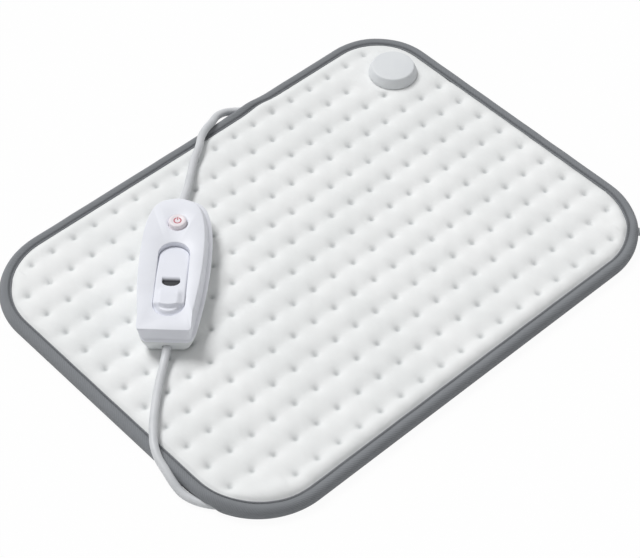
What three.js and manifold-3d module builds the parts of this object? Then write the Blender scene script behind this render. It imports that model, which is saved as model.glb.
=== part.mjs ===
// Electric heating pad: a quilted pad with a taped edge, a round cord coupling through its corner, and a
// hand control lying on it. The supply cord runs over the pad's edge, under the pad, and out to a coil.
// Millimetres, +Z up. The origin is the centre of the pad's underside, +X runs along its long side.

import * as THREE from 'three';
import { mergeVertices } from 'three/addons/utils/BufferGeometryUtils.js';
import Module from 'manifold-3d';

const wasm = await Module();
wasm.setup();

// Clearances and shared sizes
const GAP = 0.3;
const OVERRUN = 3;
const RUNNING_GAP = 0.55;
const ROUND_SIDES = 28;
const SMALL_SIDES = 12;

// Pad
const PAD_LENGTH = 400;
const PAD_WIDTH = 300;
const PAD_CORNER_RADIUS = 59;
const COUPLING_CORNER_RADIUS = 49;
const PAD_CORNER_STEPS = 8;
const BINDING_WIDTH = 8.8;
const BINDING_HEIGHT = 10.1;
const BINDING_WALL = 1.1;
const BINDING_FOLD = 3.3;
const COVER_MEETING_HEIGHT = 5;
const QUILT_CREST_HEIGHT = 11.5;
const TOP_COVER_UNDERSIDE = 7.4;
const TUFT_COLUMNS = 20;
const TUFT_ROWS = 13;
const CREST_POINT_EVERY = 6;
const TUFT_MARGIN = 21.3;
const TUFT_EDGE_CLEARANCE = 7;
const TUFT_COLUMN_LEAN = 0.016;
const TUFT_DEPTH = 1.9;
const QUILT_CHANNEL_DEPTH = 0.8;
const COVER_SHOULDER_WIDTH = 9;

// The pad's corner in the layout that gives the places and cord routes on it
const LAYOUT_CORNER = [200, 150];

// Heater inside the pad
const HEATER_MARGIN_X = 28;
const HEATER_MARGIN_Y = 32;
const HEATER_NOTCH_X = 36;
const HEATER_NOTCH_DROP = 37.7;
const HEATER_TAB_REACH = 7.7;
const HEATER_BEYOND_COUPLING = 9.3;
const HEATER_TAB_GAP = 2.2;
const CARRIER_THICKNESS = 0.7;
const POCKET_DEPTH = 2.2;
const POCKET_MARGIN = 1;
const WIRE_DIAMETER = 1.2;
const WIRE_SIDES = 5;
const WIRE_BEND = 4.5;
const WIRE_INSET = 9;
const WIRE_ROWS = 9;
const WIRE_COLUMNS = 12;
const WIRE_TAIL_SPACING = 5;
const CUTOUT_PLACES = [{ lengthShare: -0.2, row: 1.5 }, { lengthShare: 0.2, row: 2.5 }];
const CUTOUT_LENGTH = 13;
const CUTOUT_WIDTH = 5;
const CUTOUT_HEIGHT = 1.2;

// Cord and the channels that the covers leave for it
const CORD_DIAMETER = 5.8;
const CORD_SIDES = 8;
const CORD_STEP_DIAMETERS = 2.4;
const CHANNEL_WIDTH = 8.2;
const CHANNEL_HEIGHT = 6.7;
const CHANNEL_STEPS_PER_POINT = 3;

// Coupling that carries the cord through the pad's corner
const COUPLING_X = 162.7;
const COUPLING_Y = 97.7;
const CAP_DIAMETER = 37;
const CAP_FACE_DIAMETER = 30.4;
const CAP_HEIGHT = 7.9;
const CAP_WALL = 1.8;
const CAP_RIM_HEIGHT = 1.9;
const CAP_EDGE_ROUND = 0.8;
const BASE_DIAMETER = 39;
const BASE_FLOOR = 1.3;
const BASE_WALL = 1.8;
const COUPLING_BORE_DIAMETER = 29.2;
const COUPLING_SCREWS = 3;
const COUPLING_SCREW_CIRCLE = 22;
const COUPLING_SCREW_DIAMETER = 2.2;
const COUPLING_HEAD_DIAMETER = 4.4;
const COUPLING_HEAD_HEIGHT = 1.4;
const COUPLING_PILLAR_DIAMETER = 7;
const CAP_BOSS_DIAMETER = 4.6;
const COUPLING_CORD_HEIGHT = 4;
const RELIEF_LENGTH = 21;
const RELIEF_DIAMETER = 7.6;
const RELIEF_TIP_DIAMETER = 7.2;
const TERMINAL_BACK = 4;
const TERMINAL_NOSE = 6.25;
const TERMINAL_WIDTH = 9;
const TERMINAL_TOP = 8.6;
const COUPLING_CLAMP_LENGTH = 3;
const COUPLING_CLAMP_WIDTH = 10;
const COUPLING_CLAMP_HEIGHT = 1.4;

// Hand control: its place on the pad, outline and shells
const CONTROL_X = -94.4;
const CONTROL_Y = 48.4;
const CONTROL_TURN_DEGREES = 45.2;
const CONTROL_NOSE = 64.7;
const CONTROL_TAIL = 66.3;
const CONTROL_WIDTH = 50;
const CONTROL_HEIGHT = 23.3;
const CONTROL_SEAM_HEIGHT = 12.6;
const CONTROL_WALL = 1.9;
const CONTROL_FACE_INSET = 4.8;
const CONTROL_NOSE_INSET = 9;
const CONTROL_TAIL_INSET = 2.4;
const CONTROL_KEEL_INSET = 6.5;
const CONTROL_KEEL_NOSE = 7.8;
const CONTROL_KEEL_TAIL = 4.9;
const CORD_ENTRY_HEIGHT = 6;
const SHELL_SCREW_DIAMETER = 2.4;
const SHELL_HEAD_DIAMETER = 4.6;
const SHELL_HEAD_HEIGHT = 1.6;
const SHELL_BOSS_DIAMETER = 7;
const TOP_BOSS_DIAMETER = 5.6;
const NOSE_SCREW_S = 49.5;
const NOSE_SCREW_T = 10;
const TAIL_SCREW_S = -57;
const TAIL_SCREW_T = 11.8;

// Buttons of the hand control
const POWER_S = 33;
const POWER_DIAMETER = 12.6;
const POWER_PROUD = 2.9;
const POWER_FLANGE_WIDTH = 1.7;
const POWER_FLANGE_HEIGHT = 1.5;
const POWER_STEM_DIAMETER = 4.4;
const POWER_STEM_LENGTH = 2.9;
const POWER_DISH_WIDTH = 1.3;
const ROCKER_S = -18.6;
const WELL_LENGTH = 66.4;
const WELL_WIDTH = 21.6;
const WELL_SKIRT_WALL = 1.4;
const WELL_SKIRT_DEPTH = 4.2;
const ROCKER_UNDERSIDE_DEPTH = 8.3;
const ROCKER_SUNK = 4.1;
const ROCKER_PROUD = 4.2;
const ROCKER_ROOF = 2.4;
const ROCKER_PIT_FLOOR = 1;
const ROCKER_WALL = 1.7;
const ROCKER_END_INSET = 2.8;
const ROCKER_HUB_LENGTH = 9;
const ROCKER_FOOT_LENGTH = 5;
const ROCKER_FOOT_OFFSET = 22;
const ROCKER_AXIS_DEPTH = 6;
const ROCKER_PIN_DIAMETER = 2.5;
const ROCKER_EAR_WALL = 2.8;
const ROCKER_EAR_LENGTH = 6.4;
const PIT_LENGTH = 7;
const PIT_WIDTH = 12.6;
const PIT_OFFSET = -2;
const PIT_DEPTH = 3.6;
const LENS_THICKNESS = 0.9;
const DOME_DIAMETER = 6.4;

// Board, clamps and parts inside the hand control
const BOARD_UNDERSIDE = 9.9;
const BOARD_THICKNESS = 1.6;
const BOARD_TAIL = -49;
const BOARD_NOSE = 44;
const BOARD_WIDTH = 32;
const STANDOFF_DIAMETER = 5;
const STANDOFF_INSET = 4;
const CLAMP_INSET = 8.6;
const CLAMP_LENGTH = 4.6;
const CLAMP_WIDTH = 15.6;
const CLAMP_THICKNESS = 2;
const CLAMP_POST_DIAMETER = 3.8;
const CLAMP_SCREW_DIAMETER = 1.6;
const CLAMP_HEAD_DIAMETER = 3.4;
const CLAMP_HEAD_HEIGHT = 1.2;
const CORD_INSIDE = 16;
const RELAY_SIZE = [18, 12, 6.2];
const CAPACITOR_SIZE = [17, 9, 6.6];
const CHIP_SIZE = [10, 10, 1.7];
const BLOCK_SIZE = [8, 13, 6.4];
const CAN_DIAMETER = 6.4;
const CAN_LENGTH = 12;
const FUSE_DIAMETER = 5;
const FUSE_LENGTH = 19;
const PART_ROW_T = 7.2;
const MAINS_TERMINAL_S = -37.5;
const RELAY_S = -18;
const CAN_S = 0;
const FUSE_S = 4;
const CHIP_S = 21;
const PAD_TERMINAL_S = 35.2;

// Coil of the supply cord, its tie and plug
const COIL_BESIDE_PAD = 50;
const COIL_BEFORE_PAD = 40;
const COIL_OUTER_RADIUS = 46.8;
const COIL_PITCH = 6.4;
const COIL_LAYER_STEP = 6.5;
const COIL_TURNS = 7.25;
const CLIMB_TURNS = 0.5;
const COIL_STEPS = 24;
const COIL_SIDES = 6;
const COIL_START_DEGREES = 180;
const TIE_THICKNESS = 0.6;
const TIE_WIDTH = 8;
const TIE_DEGREES = 45;
const PLUG_TAIL = 34;
const PLUG_BOOT_LENGTH = 24;
const PLUG_BOOT_DIAMETER = 10.6;
const PLUG_BOOT_TIP_DIAMETER = 7.4;
const PLUG_LENGTH = 36;
const PLUG_WIDTH = 35;
const PLUG_THICKNESS = 14;
const PIN_DIAMETER = 4;
const PIN_LENGTH = 19;
const PIN_SPACING = 18.6;

// Finishes
const FINISHES = {
  cover: { color: 0xf2f3f5, roughness: 0.95, metalness: 0 },
  binding: { color: 0x96979b, roughness: 0.9, metalness: 0 },
  fleece: { color: 0xe4e0d4, roughness: 1, metalness: 0 },
  heater: { color: 0xd8b060, roughness: 0.6, metalness: 0 },
  shell: { color: 0xe9ebf1, roughness: 0.45, metalness: 0 },
  coupling: { color: 0xe6e9eb, roughness: 0.5, metalness: 0 },
  button: { color: 0xf3f3f5, roughness: 0.4, metalness: 0 },
  lens: { color: 0x35383f, roughness: 0.2, metalness: 0 },
  rubber: { color: 0xb9bcc0, roughness: 0.8, metalness: 0 },
  steel: { color: 0xb5b7ba, roughness: 0.35, metalness: 1 },
  board: { color: 0x3f7a4d, roughness: 0.6, metalness: 0 },
  component: { color: 0x3a3c44, roughness: 0.6, metalness: 0 },
  cord: { color: 0xd2d4d7, roughness: 0.55, metalness: 0 },
  plug: { color: 0xdcdee1, roughness: 0.5, metalness: 0 },
  brass: { color: 0xc9b27a, roughness: 0.3, metalness: 1 },
};

function onPad([x, y, z = 0]) {
  return [(x * PAD_LENGTH) / 2 / LAYOUT_CORNER[0], (y * PAD_WIDTH) / 2 / LAYOUT_CORNER[1], z];
}

const [couplingX, couplingY] = onPad([COUPLING_X, COUPLING_Y]);
const [controlX, controlY] = onPad([CONTROL_X, CONTROL_Y]);
const coilX = PAD_LENGTH / 2 + COIL_BESIDE_PAD;
const coilY = -PAD_WIDTH / 2 - COIL_BEFORE_PAD;

const object = new THREE.Group();
const control = new THREE.Group();
const controlBase = QUILT_CREST_HEIGHT + GAP;
control.position.set(controlX, controlY, controlBase);
control.rotation.z = THREE.MathUtils.degToRad(CONTROL_TURN_DEGREES);
object.add(control);

function add(parent, name, geometry, finish) {
  const mesh = new THREE.Mesh(geometry, new THREE.MeshStandardMaterial(FINISHES[finish]));
  mesh.name = name;
  parent.add(mesh);
}

// Solids and their joins and cuts
function solid(geometry) {
  const bare = geometry.clone();
  bare.deleteAttribute('normal');
  bare.deleteAttribute('uv');
  const merged = mergeVertices(bare, GAP / 1000);
  return new wasm.Manifold(new wasm.Mesh({
    numProp: 3,
    vertProperties: new Float32Array(merged.attributes.position.array),
    triVerts: new Uint32Array(merged.index.array),
  }));
}

function surface(body) {
  const mesh = body.getMesh();
  const geometry = new THREE.BufferGeometry();
  geometry.setAttribute('position', new THREE.BufferAttribute(new Float32Array(mesh.vertProperties), 3));
  geometry.setIndex(new THREE.BufferAttribute(new Uint32Array(mesh.triVerts), 1));
  return geometry;
}

function join(first, ...others) {
  return others.reduce((body, other) => body.add(other), first);
}

function cut(first, ...others) {
  return others.reduce((body, other) => body.subtract(other), first);
}

// A skin over rings of equally many points, closed by flat ends or, when looped, by its first ring
function loft(rings, looped = false) {
  const count = rings[0].length;
  const points = rings.flat();
  const faces = [];
  const spans = looped ? rings.length : rings.length - 1;
  for (let ring = 0; ring < spans; ring += 1) {
    const near = ring * count;
    const far = ((ring + 1) % rings.length) * count;
    for (let side = 0; side < count; side += 1) {
      const next = (side + 1) % count;
      faces.push(near + side, near + next, far + next, near + side, far + next, far + side);
    }
  }
  if (!looped) {
    const first = points.length;
    const centre = (ring) => ring.reduce((sum, p) => sum.add(p), new THREE.Vector3()).divideScalar(count);
    points.push(centre(rings[0]), centre(rings[rings.length - 1]));
    const last = (rings.length - 1) * count;
    for (let side = 0; side < count; side += 1) {
      const next = (side + 1) % count;
      faces.push(first, next, side, first + 1, last + side, last + next);
    }
  }
  const geometry = new THREE.BufferGeometry();
  geometry.setFromPoints(points);
  geometry.setIndex(faces);
  return geometry;
}

function block(lowX, highX, lowY, highY, lowZ, highZ) {
  const geometry = new THREE.BoxGeometry(highX - lowX, highY - lowY, highZ - lowZ);
  geometry.translate((lowX + highX) / 2, (lowY + highY) / 2, (lowZ + highZ) / 2);
  return solid(geometry);
}

function drum(x, y, lowZ, highZ, diameter, sides = SMALL_SIDES) {
  const geometry = new THREE.CylinderGeometry(diameter / 2, diameter / 2, highZ - lowZ, sides);
  geometry.rotateX(Math.PI / 2);
  geometry.translate(x, y, (lowZ + highZ) / 2);
  return solid(geometry);
}

function drumAlongX(lowX, highX, y, z, diameter, sides = SMALL_SIDES) {
  const geometry = new THREE.CylinderGeometry(diameter / 2, diameter / 2, highX - lowX, sides);
  geometry.rotateZ(-Math.PI / 2);
  geometry.translate((lowX + highX) / 2, y, z);
  return solid(geometry);
}

function drumAlongY(lowY, highY, x, z, diameter, sides = SMALL_SIDES) {
  const geometry = new THREE.CylinderGeometry(diameter / 2, diameter / 2, highY - lowY, sides);
  geometry.translate(x, (lowY + highY) / 2, z);
  return solid(geometry);
}

// A profile of [radius, height] pairs turned about an upright axis; it starts and ends on the axis
function turned(profile, x, y, sides = ROUND_SIDES) {
  const geometry = new THREE.LatheGeometry(profile.map(([r, z]) => new THREE.Vector2(r, z)), sides);
  geometry.rotateX(Math.PI / 2);
  geometry.translate(x, y, 0);
  return solid(geometry);
}

function prism(shape, lowZ, highZ, curveSegments = PAD_CORNER_STEPS) {
  const depth = highZ - lowZ;
  const geometry = new THREE.ExtrudeGeometry(shape, { depth, bevelEnabled: false, curveSegments });
  geometry.translate(0, 0, lowZ);
  return solid(geometry);
}

// The rounds of the pad's corners in turn, from the coupling's: each one's centre and radius
const padCorners = [[1, 1], [-1, 1], [-1, -1], [1, -1]].map(([alongX, alongY], quarter) => {
  const radius = quarter === 0 ? COUPLING_CORNER_RADIUS : PAD_CORNER_RADIUS;
  return { x: alongX * (PAD_LENGTH / 2 - radius), y: alongY * (PAD_WIDTH / 2 - radius), radius };
});

// The pad's outline, drawn in by an inset
function padOutline(inset) {
  const shape = new THREE.Shape();
  padCorners.forEach(({ x, y, radius }, quarter) => {
    shape.absarc(x, y, radius - inset, (quarter * Math.PI) / 2, ((quarter + 1) * Math.PI) / 2);
  });
  return shape;
}

function stadium(centreS, length, width) {
  const radius = width / 2;
  const reach = length / 2 - radius;
  const shape = new THREE.Shape();
  shape.absarc(centreS + reach, 0, radius, -Math.PI / 2, Math.PI / 2);
  shape.absarc(centreS - reach, 0, radius, Math.PI / 2, Math.PI * 3 / 2);
  return shape;
}

// A cord's free stretch: a round section carried along its route
function cordTube(route) {
  const path = new THREE.CatmullRomCurve3(route.map((p) => new THREE.Vector3(...p)), false, 'centripetal');
  const steps = Math.ceil(path.getLength() / (CORD_STEP_DIAMETERS * CORD_DIAMETER));
  const section = new THREE.Shape();
  for (let side = 0; side < CORD_SIDES; side += 1) {
    const angle = (side * Math.PI * 2) / CORD_SIDES;
    const point = [Math.cos(angle) * CORD_DIAMETER / 2, Math.sin(angle) * CORD_DIAMETER / 2];
    if (side === 0) section.moveTo(...point);
    else section.lineTo(...point);
  }
  section.closePath();
  console.error(`free cord ${path.getLength().toFixed(1)} mm in ${steps} steps`);
  return new THREE.ExtrudeGeometry(section, { steps, bevelEnabled: false, extrudePath: path });
}

// The channel that lets a cord pass under the pad: an arched section carried along the floor
function channel(route, width = CHANNEL_WIDTH, height = CHANNEL_HEIGHT) {
  const halfWidthShares = [1, 1, 0.76, 0, -0.76, -1, -1];
  const heightShares = [0, 0.5, 0.86, 1, 0.86, 0.5, 0];
  const line = route.map(([x, y]) => new THREE.Vector3(x, y, 0));
  const path = new THREE.CatmullRomCurve3(line, false, 'centripetal');
  const steps = route.length * CHANNEL_STEPS_PER_POINT;
  const rings = [];
  for (let step = 0; step <= steps; step += 1) {
    const centre = path.getPointAt(step / steps);
    const along = path.getTangentAt(step / steps);
    const across = new THREE.Vector3(-along.y, along.x, 0);
    rings.push(halfWidthShares.map((share, k) => {
      const z = heightShares[k] === 0 ? -OVERRUN : heightShares[k] * height;
      return centre.clone().addScaledVector(across, (share * width) / 2).setZ(z);
    }));
  }
  return solid(loft(rings));
}

// Cord routes, chosen by hand where the cord lies
const LEAD_UNDER_PAD = [
  [112.6, 98.9, 3.3], [103, 102.6, 3.2], [93, 109, 3.2], [83, 117.4, 3.2], [73.6, 128.5, 3.2],
  [66, 139.7, 3.2], [58.7, 148.6, 3.2], [51.2, 153.9, 4],
].map(onPad);
const MAINS_UNDER_PAD = [
  [-200.8, -96.6, 3.25], [-196, -105, 3.2], [-188.4, -113.2, 3.2], [-178, -120.6, 3.2],
  [-165, -126.8, 3.2], [-149, -130, 3.2], [-110, -131, 3.2], [-60, -131, 3.2], [-10, -131, 3.2],
  [40, -131, 3.2], [88, -130.4, 3.2], [120, -127.6, 3.2], [143, -124.8, 3.2], [159, -124, 3.2],
  [172, -126, 3.2], [181.5, -132, 3.2], [188.3, -139.8, 3.2], [194.2, -149.4, 3.2],
].map(onPad);
const LEAD_OVER_PAD = [
  [43, 155.6, 6.8], [34.8, 154.1, 9.6], [26, 149.6, 12.2], [17.1, 146.1, 13.6], [8.9, 141.3, 14.6],
  [-0.1, 133.9, 14.7], [-10.4, 127, 14.8], [-21, 118, 15], [-32, 108.2, 16.4],
].map(onPad);
const MAINS_OVER_PAD = [
  [-149.9, -5.8, 15.6], [-160.2, -14, 14.8], [-172, -24.6, 14.8], [-182.6, -35, 14.8],
  [-191, -44.4, 14.7], [-196.8, -52.4, 14], [-200.6, -61, 12.3], [-202.4, -70.4, 10.3],
  [-203.7, -79.4, 7.3], [-203.6, -88, 4.5],
].map(onPad);

// Covers and binding
const pitchX = (PAD_LENGTH - 2 * TUFT_MARGIN) / (TUFT_COLUMNS - 1);
const pitchY = (PAD_WIDTH - 2 * TUFT_MARGIN) / (TUFT_ROWS - 1);
const edgeInset = BINDING_FOLD + GAP;
const coverEdgeTop = BINDING_HEIGHT - BINDING_WALL - GAP;
const seamInset = BINDING_WIDTH + GAP;

function insidePadEdge(x, y, inset) {
  const corner = padCorners.find((round) => round.x * x >= 0 && round.y * y >= 0);
  const overX = Math.abs(x) - Math.abs(corner.x);
  const overY = Math.abs(y) - Math.abs(corner.y);
  const outside = Math.hypot(Math.max(overX, 0), Math.max(overY, 0)) + Math.min(Math.max(overX, overY), 0);
  return corner.radius - inset - outside;
}

function tufted(x, y) {
  const clearOfCorner = insidePadEdge(x, y, seamInset) > TUFT_EDGE_CLEARANCE;
  const clearOfCap = Math.hypot(x - couplingX, y - couplingY) > CAP_DIAMETER / 2 + COVER_SHOULDER_WIDTH / 2;
  return clearOfCorner && clearOfCap;
}

function quiltHeight(x, y) {
  const rise = THREE.MathUtils.smoothstep(insidePadEdge(x, y, seamInset), 0, COVER_SHOULDER_WIDTH);
  const wave = (place, pitch) => (1 + Math.cos((2 * Math.PI * place) / pitch)) / 2;
  const columnWave = wave(x - TUFT_COLUMN_LEAN * y - PAD_LENGTH / 2 + TUFT_MARGIN, pitchX);
  const rowWave = wave(y - PAD_WIDTH / 2 + TUFT_MARGIN, pitchY);
  const drop = tufted(x, y) ? rowWave * (QUILT_CHANNEL_DEPTH + TUFT_DEPTH * columnWave) : 0;
  return coverEdgeTop + (QUILT_CREST_HEIGHT - coverEdgeTop) * rise - drop * rise;
}

function gridLines(half, pitch, count) {
  const lines = [seamInset - half];
  for (let line = 0; line < 2 * count - 1; line += 1) {
    lines.push(TUFT_MARGIN - half + (line * pitch) / 2);
  }
  lines.push(half - seamInset);
  return lines;
}

// A block under the quilted surface: a row through the tufts has a point at and between the tufts, and a row
// along a crest, which is straight, has a point at every few of them
function quiltBlock() {
  const columns = gridLines(PAD_LENGTH / 2, pitchX, TUFT_COLUMNS);
  const rows = gridLines(PAD_WIDTH / 2, pitchY, TUFT_ROWS);
  const last = columns.length - 1;
  const points = [];
  const grid = rows.map((y, row) => columns.map((x, column) => {
    const tuftRow = row % 2 === 1;
    const onEdge = column === 0 || column === last;
    if (!tuftRow && !onEdge && column % CREST_POINT_EVERY !== 2) return null;
    const leant = onEdge ? x : x + TUFT_COLUMN_LEAN * y;
    points.push(new THREE.Vector3(leant, y, quiltHeight(leant, y)));
    return points.length - 1;
  }));
  const topCount = points.length;
  const floor = points.map((p) => new THREE.Vector3(p.x, p.y, -OVERRUN));
  points.push(...floor);
  const faces = [];
  const quad = (a, b, c, d) => faces.push(a, b, c, a, c, d);
  for (let row = 0; row < rows.length - 1; row += 1) {
    const low = grid[row].filter((k) => k !== null);
    const high = grid[row + 1].filter((k) => k !== null);
    let i = 0;
    let j = 0;
    while (i < low.length - 1 || j < high.length - 1) {
      const lowNext = i < low.length - 1 ? points[low[i + 1]].x : Infinity;
      const highNext = j < high.length - 1 ? points[high[j + 1]].x : Infinity;
      const third = lowNext <= highNext ? low[i + 1] : high[j + 1];
      faces.push(low[i], third, high[j]);
      faces.push(low[i] + topCount, high[j] + topCount, third + topCount);
      if (lowNext <= highNext) i += 1;
      else j += 1;
    }
  }
  const wall = (p, q) => quad(p, p + topCount, q + topCount, q);
  const kept = (row) => grid[row].filter((k) => k !== null);
  kept(0).slice(1).forEach((k, i) => wall(kept(0)[i], k));
  kept(rows.length - 1).slice(1).forEach((k, i) => wall(k, kept(rows.length - 1)[i]));
  for (let row = 0; row < rows.length - 1; row += 1) {
    wall(grid[row + 1][0], grid[row][0]);
    wall(grid[row][last], grid[row + 1][last]);
  }
  const geometry = new THREE.BufferGeometry();
  geometry.setFromPoints(points);
  geometry.setIndex(faces);
  return solid(geometry);
}

const reliefEndX = couplingX - BASE_DIAMETER / 2 - RELIEF_LENGTH;
const mainsChannel = channel([...MAINS_OVER_PAD.slice(-2), ...MAINS_UNDER_PAD]);
const leadChannel = channel([[reliefEndX, couplingY], ...LEAD_UNDER_PAD, LEAD_OVER_PAD[0]]);
const couplingFloor = GAP;
const couplingBaseTop = TOP_COVER_UNDERSIDE - GAP;
const reliefSlot = block(
  reliefEndX - RELIEF_DIAMETER, couplingX,
  couplingY - RELIEF_DIAMETER / 2 - GAP, couplingY + RELIEF_DIAMETER / 2 + GAP,
  -OVERRUN, COUPLING_CORD_HEIGHT + RELIEF_DIAMETER / 2 + GAP,
);

const [notchX] = onPad([HEATER_NOTCH_X, 0]);
const notchY = couplingY - HEATER_NOTCH_DROP;
const tabX = couplingX - HEATER_TAB_REACH;
const tabY = couplingY - BASE_DIAMETER / 2 - HEATER_TAB_GAP;

function carrierOutline(margin) {
  const lowX = HEATER_MARGIN_X - PAD_LENGTH / 2 - margin;
  const farX = couplingX + HEATER_BEYOND_COUPLING + margin;
  const farY = PAD_WIDTH / 2 - HEATER_MARGIN_Y + margin;
  const shape = new THREE.Shape();
  shape.moveTo(lowX, -farY);
  shape.lineTo(farX, -farY);
  shape.lineTo(farX, tabY + margin);
  shape.lineTo(tabX - margin, tabY + margin);
  shape.lineTo(tabX - margin, notchY + margin);
  shape.lineTo(notchX + margin, notchY + margin);
  shape.lineTo(notchX + margin, farY);
  shape.lineTo(lowX, farY);
  shape.closePath();
  return shape;
}

function topCover() {
  const low = COVER_MEETING_HEIGHT + GAP / 2;
  const plate = prism(padOutline(edgeInset), low, coverEdgeTop);
  const quilt = quiltBlock().intersect(prism(padOutline(seamInset), low, 2 * QUILT_CREST_HEIGHT));
  const underside = prism(padOutline(seamInset), -OVERRUN, TOP_COVER_UNDERSIDE);
  const bore = drum(couplingX, couplingY, 0, 2 * QUILT_CREST_HEIGHT, COUPLING_BORE_DIAMETER, ROUND_SIDES);
  return cut(join(plate, quilt), underside, bore, mainsChannel, leadChannel, reliefSlot);
}

function bottomCover() {
  const coverTop = TOP_COVER_UNDERSIDE - GAP;
  const inner = prism(padOutline(seamInset), 0, coverTop);
  const edge = prism(padOutline(edgeInset), BINDING_WALL + GAP, COVER_MEETING_HEIGHT - GAP / 2);
  const pocket = prism(carrierOutline(POCKET_MARGIN), coverTop - POCKET_DEPTH, 2 * coverTop);
  const bore = drum(couplingX, couplingY, -OVERRUN, 2 * coverTop, BASE_DIAMETER + 2 * GAP, ROUND_SIDES);
  const wireSlot = block(
    couplingX - WIRE_TAIL_SPACING, couplingX + 2 * WIRE_TAIL_SPACING, tabY, couplingY,
    coverTop - POCKET_DEPTH, 2 * coverTop,
  );
  return cut(join(inner, edge), pocket, bore, wireSlot, mainsChannel, leadChannel, reliefSlot);
}

// The tape's folded section, as insets from the pad's edge and heights, carried round the outline
function binding() {
  const outerInsetShares = [1, 0.48, 0.22, 0.05, 0, 0.05, 0.22, 0.48, 1];
  const outerHeightShares = [0, 0, 0.08, 0.27, 0.5, 0.73, 0.92, 1, 0.99];
  const innerInsetShares = [1, 0.34, 0.15, 0.13, 0.15, 0.34, 1];
  const innerHeightShares = [1, 1, 0.8, 0.5, 0.2, 0, 0];
  const innerHeight = BINDING_HEIGHT - 2 * BINDING_WALL;
  const section = [
    ...outerInsetShares.map((share, k) => [share * BINDING_WIDTH, outerHeightShares[k] * BINDING_HEIGHT]),
    ...innerInsetShares.map((share, k) => [
      share * BINDING_WIDTH, BINDING_WALL + innerHeightShares[k] * innerHeight]),
  ].reverse();
  const rings = [];
  padCorners.forEach(({ x, y, radius }, quarter) => {
    for (let step = 0; step <= PAD_CORNER_STEPS; step += 1) {
      const angle = (Math.PI / 2) * (quarter + step / PAD_CORNER_STEPS);
      rings.push(section.map(([inset, z]) => {
        const reach = radius - inset;
        return new THREE.Vector3(x + Math.cos(angle) * reach, y + Math.sin(angle) * reach, z);
      }));
    }
  });
  return cut(solid(loft(rings, true)), mainsChannel, leadChannel);
}

add(object, 'top_cover', surface(topCover()), 'cover');
add(object, 'bottom_cover', surface(bottomCover()), 'cover');
add(object, 'edge_binding', surface(binding()), 'binding');

// Heater: a fleece carrier, one resistance wire laid in rows, and two thermal cut-outs
const carrierFloor = couplingBaseTop - POCKET_DEPTH + GAP;
const carrierTop = carrierFloor + CARRIER_THICKNESS;
const wireHeight = TOP_COVER_UNDERSIDE - GAP - WIRE_DIAMETER / 2;
add(object, 'heating_carrier', surface(prism(carrierOutline(0), carrierFloor, carrierTop)), 'fleece');

function wireCorners() {
  const lowX = HEATER_MARGIN_X + WIRE_INSET - PAD_LENGTH / 2;
  const lowY = HEATER_MARGIN_Y + WIRE_INSET - PAD_WIDTH / 2;
  const highY = -lowY;
  const firstTailX = couplingX;
  const secondTailX = couplingX + WIRE_TAIL_SPACING;
  const endY = couplingY - TERMINAL_WIDTH / 2 - GAP;
  const turnY = notchY - WIRE_INSET;
  const columnX = notchX - WIRE_INSET;
  const corners = [[firstTailX, endY], [firstTailX, turnY]];
  const columnStep = (columnX - lowX) / (WIRE_COLUMNS - 1);
  for (let column = 0; column < WIRE_COLUMNS; column += 1) {
    const x = columnX - column * columnStep;
    corners.push(...(column % 2 === 0 ? [[x, turnY], [x, highY]] : [[x, highY], [x, turnY]]));
  }
  corners.pop();
  const topY = turnY - columnStep;
  const rowStep = (topY - lowY) / (WIRE_ROWS - 1);
  const rowEndX = firstTailX - WIRE_TAIL_SPACING;
  for (let row = 0; row < WIRE_ROWS; row += 1) {
    const y = topY - row * rowStep;
    corners.push(...(row % 2 === 0 ? [[lowX, y], [rowEndX, y]] : [[rowEndX, y], [lowX, y]]));
  }
  corners.pop();
  corners.push([secondTailX, lowY], [secondTailX, endY]);
  return corners.map(([x, y]) => new THREE.Vector3(x, y, wireHeight));
}

// A round section swept along straight runs whose corners are cut short by the bend
function bentTube(corners, bend, diameter, sides) {
  const points = [corners[0]];
  for (let k = 1; k < corners.length - 1; k += 1) {
    const before = corners[k - 1].clone().sub(corners[k]).setLength(bend);
    const after = corners[k + 1].clone().sub(corners[k]).setLength(bend);
    points.push(corners[k].clone().add(before), corners[k].clone().add(after));
  }
  points.push(corners[corners.length - 1]);
  return loft(points.map((point, k) => {
    const from = points[Math.max(k - 1, 0)];
    const to = points[Math.min(k + 1, points.length - 1)];
    const back = point.clone().sub(from);
    const ahead = to.clone().sub(point);
    const along = back.normalize().add(ahead.normalize()).normalize();
    const across = new THREE.Vector3(-along.y, along.x, 0);
    return Array.from({ length: sides }, (_, side) => {
      const angle = (2 * Math.PI * side) / sides;
      const radius = diameter / 2;
      return point.clone().addScaledVector(across, Math.cos(angle) * radius)
        .setZ(point.z + Math.sin(angle) * radius);
    });
  }));
}

add(object, 'heating_wire', bentTube(wireCorners(), WIRE_BEND, WIRE_DIAMETER, WIRE_SIDES), 'heater');

const heaterRowStep = (notchY + PAD_WIDTH / 2 - HEATER_MARGIN_Y - 2 * WIRE_INSET) / WIRE_ROWS;
CUTOUT_PLACES.forEach(({ lengthShare, row }, k) => {
  const x = PAD_LENGTH * lengthShare;
  const y = HEATER_MARGIN_Y + WIRE_INSET - PAD_WIDTH / 2 + heaterRowStep * row;
  const cutout = block(
    x - CUTOUT_LENGTH / 2, x + CUTOUT_LENGTH / 2, y - CUTOUT_WIDTH / 2, y + CUTOUT_WIDTH / 2,
    carrierTop + GAP, carrierTop + GAP + CUTOUT_HEIGHT,
  );
  add(object, `thermal_cutout_${k + 1}`, surface(cutout), 'component');
});

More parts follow.
